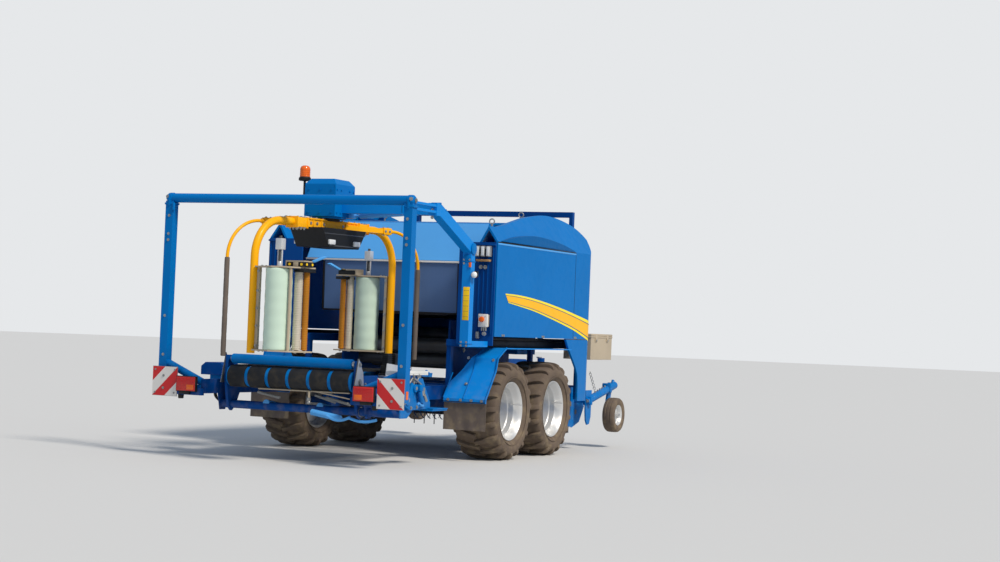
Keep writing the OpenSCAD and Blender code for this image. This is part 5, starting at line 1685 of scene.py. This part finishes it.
def gearbox_bolts(bm):
    """Cover bolts, and the collar round the power take-off stub."""
    for y in (-0.1, 0.1):
        for z in (GEAR_LOW + 0.04, GEAR_LOW + 0.22):
            bolt(bm, (4.041, y, z), (1, 0, 0), 0.011, 0.009)
    turn = Matrix.Translation((4.185, 0, GEAR_LOW + 0.15)) @ Matrix.Rotation(math.radians(90), 4, "Y")
    lathe(bm, [(0.046, 0.0), (0.06, 0.0), (0.06, 0.018), (0.046, 0.018), (0.046, 0.0)], turn, 36)


def jack_cap(bm):
    x, y = (JACK_LOW.x + JACK_HIGH.x) / 2, (JACK_LOW.y + JACK_HIGH.y) / 2
    rod(bm, (x, y, JACK_HIGH.z - 0.002), (x, y, JACK_HIGH.z + 0.014), 0.034, sides=28, round_off=0.004)


make("tool_box_lid", tool_box_lid, powder_beige, "chassis")
make("tool_box_latches", tool_box_latches, zinc_steel, "chassis")
make("gearbox_ribs", gearbox_ribs, bare_steel, "chassis")
make("gearbox_bolts", gearbox_bolts, zinc_steel, "chassis")
make("jack_cap", jack_cap, zinc_steel, "chassis")


# Chamber: bearing nuts on the walls; clamps of the net box

CHAMBER_X, CHAMBER_Z = 2.33, 1.42
NUT_CIRCLE_R = 0.6
NUTS = 12
WALL_Y = box_of("chamber_walls")[1].y
NET_LOW, NET_HIGH = box_of("net_box")


def roller_end_nuts(bm):
    for side in (-1, 1):
        for k in range(NUTS):
            a = math.radians(-60 + 27 * k)
            x, z = CHAMBER_X + NUT_CIRCLE_R * math.cos(a), CHAMBER_Z + NUT_CIRCLE_R * math.sin(a)
            bolt(bm, (x, side * WALL_Y, z), (0, side, 0), 0.016, 0.01)


def net_box_ribs(bm):
    back, front = NET_HIGH.x - 0.004, NET_HIGH.x + 0.002
    for y in (-0.6, 0.0, 0.6):
        brick(bm, (back, y - 0.02, NET_LOW.z + 0.05), (front, y + 0.02, NET_LOW.z + 0.4), 0.002)


make("roller_end_nuts", roller_end_nuts, zinc_steel, "chassis")
make("net_box_ribs", net_box_ribs, enamel_blue, "chassis")


# Floor and light

FLOOR_R = 90
SUN_STRENGTH = 3.0
SUN_SPREAD_DEG = 12
# The light's tilt from straight down, and its turn from the machine's right side towards the rear.
SUN_TILT_DEG = 43
SUN_TURN_DEG = -19
SKY_STRENGTH = 0.5


def make_floor():
    """A plain pale floor."""
    bm = bmesh.new()
    bmesh.ops.create_circle(bm, cap_ends=True, segments=96, radius=FLOOR_R)
    mesh = bpy.data.meshes.new("floor")
    bm.to_mesh(mesh)
    bm.free()
    material, tree, _ = start_material("floor_plain")
    end_material(tree, {"Base Color": srgb("#d2d2d0"), "Roughness": 0.9})
    mesh.materials.append(material)
    floor = bpy.data.objects.new("floor", mesh)
    bpy.context.scene.collection.objects.link(floor)


def make_sun():
    """One broad soft light from the right and a little behind."""
    sun = bpy.data.lights.new("soft_key", "SUN")
    sun.energy = SUN_STRENGTH
    sun.color = srgb("#fff6ea")[:3]
    sun.angle = math.radians(SUN_SPREAD_DEG)
    lamp = bpy.data.objects.new("soft_key", sun)
    lamp.rotation_euler = (math.radians(SUN_TILT_DEG), 0, math.radians(SUN_TURN_DEG))
    bpy.context.scene.collection.objects.link(lamp)


def make_sky():
    """An even pale blue sky that the camera sees as a plain light grey."""
    world = bpy.data.worlds.new("sky")
    world.use_nodes = True
    tree = world.node_tree
    tree.nodes.clear()
    rays = add(tree, "ShaderNodeLightPath").outputs
    shown = sums(tree, "MAXIMUM", rays["Is Camera Ray"], rays["Is Transmission Ray"])
    sky = add(tree, "ShaderNodeBackground", {"Color": srgb("#d3e2f7"), "Strength": SKY_STRENGTH})
    back = add(tree, "ShaderNodeBackground", {"Color": srgb("#e6e8ea"), "Strength": 1.0})
    mix = add(tree, "ShaderNodeMixShader", {0: shown, 1: sky.outputs[0], 2: back.outputs[0]})
    add(tree, "ShaderNodeOutputWorld", {"Surface": mix.outputs[0]})
    bpy.context.scene.world = world


make_floor()
make_sun()
make_sky()
bpy.context.scene.view_settings.view_transform = "Standard"
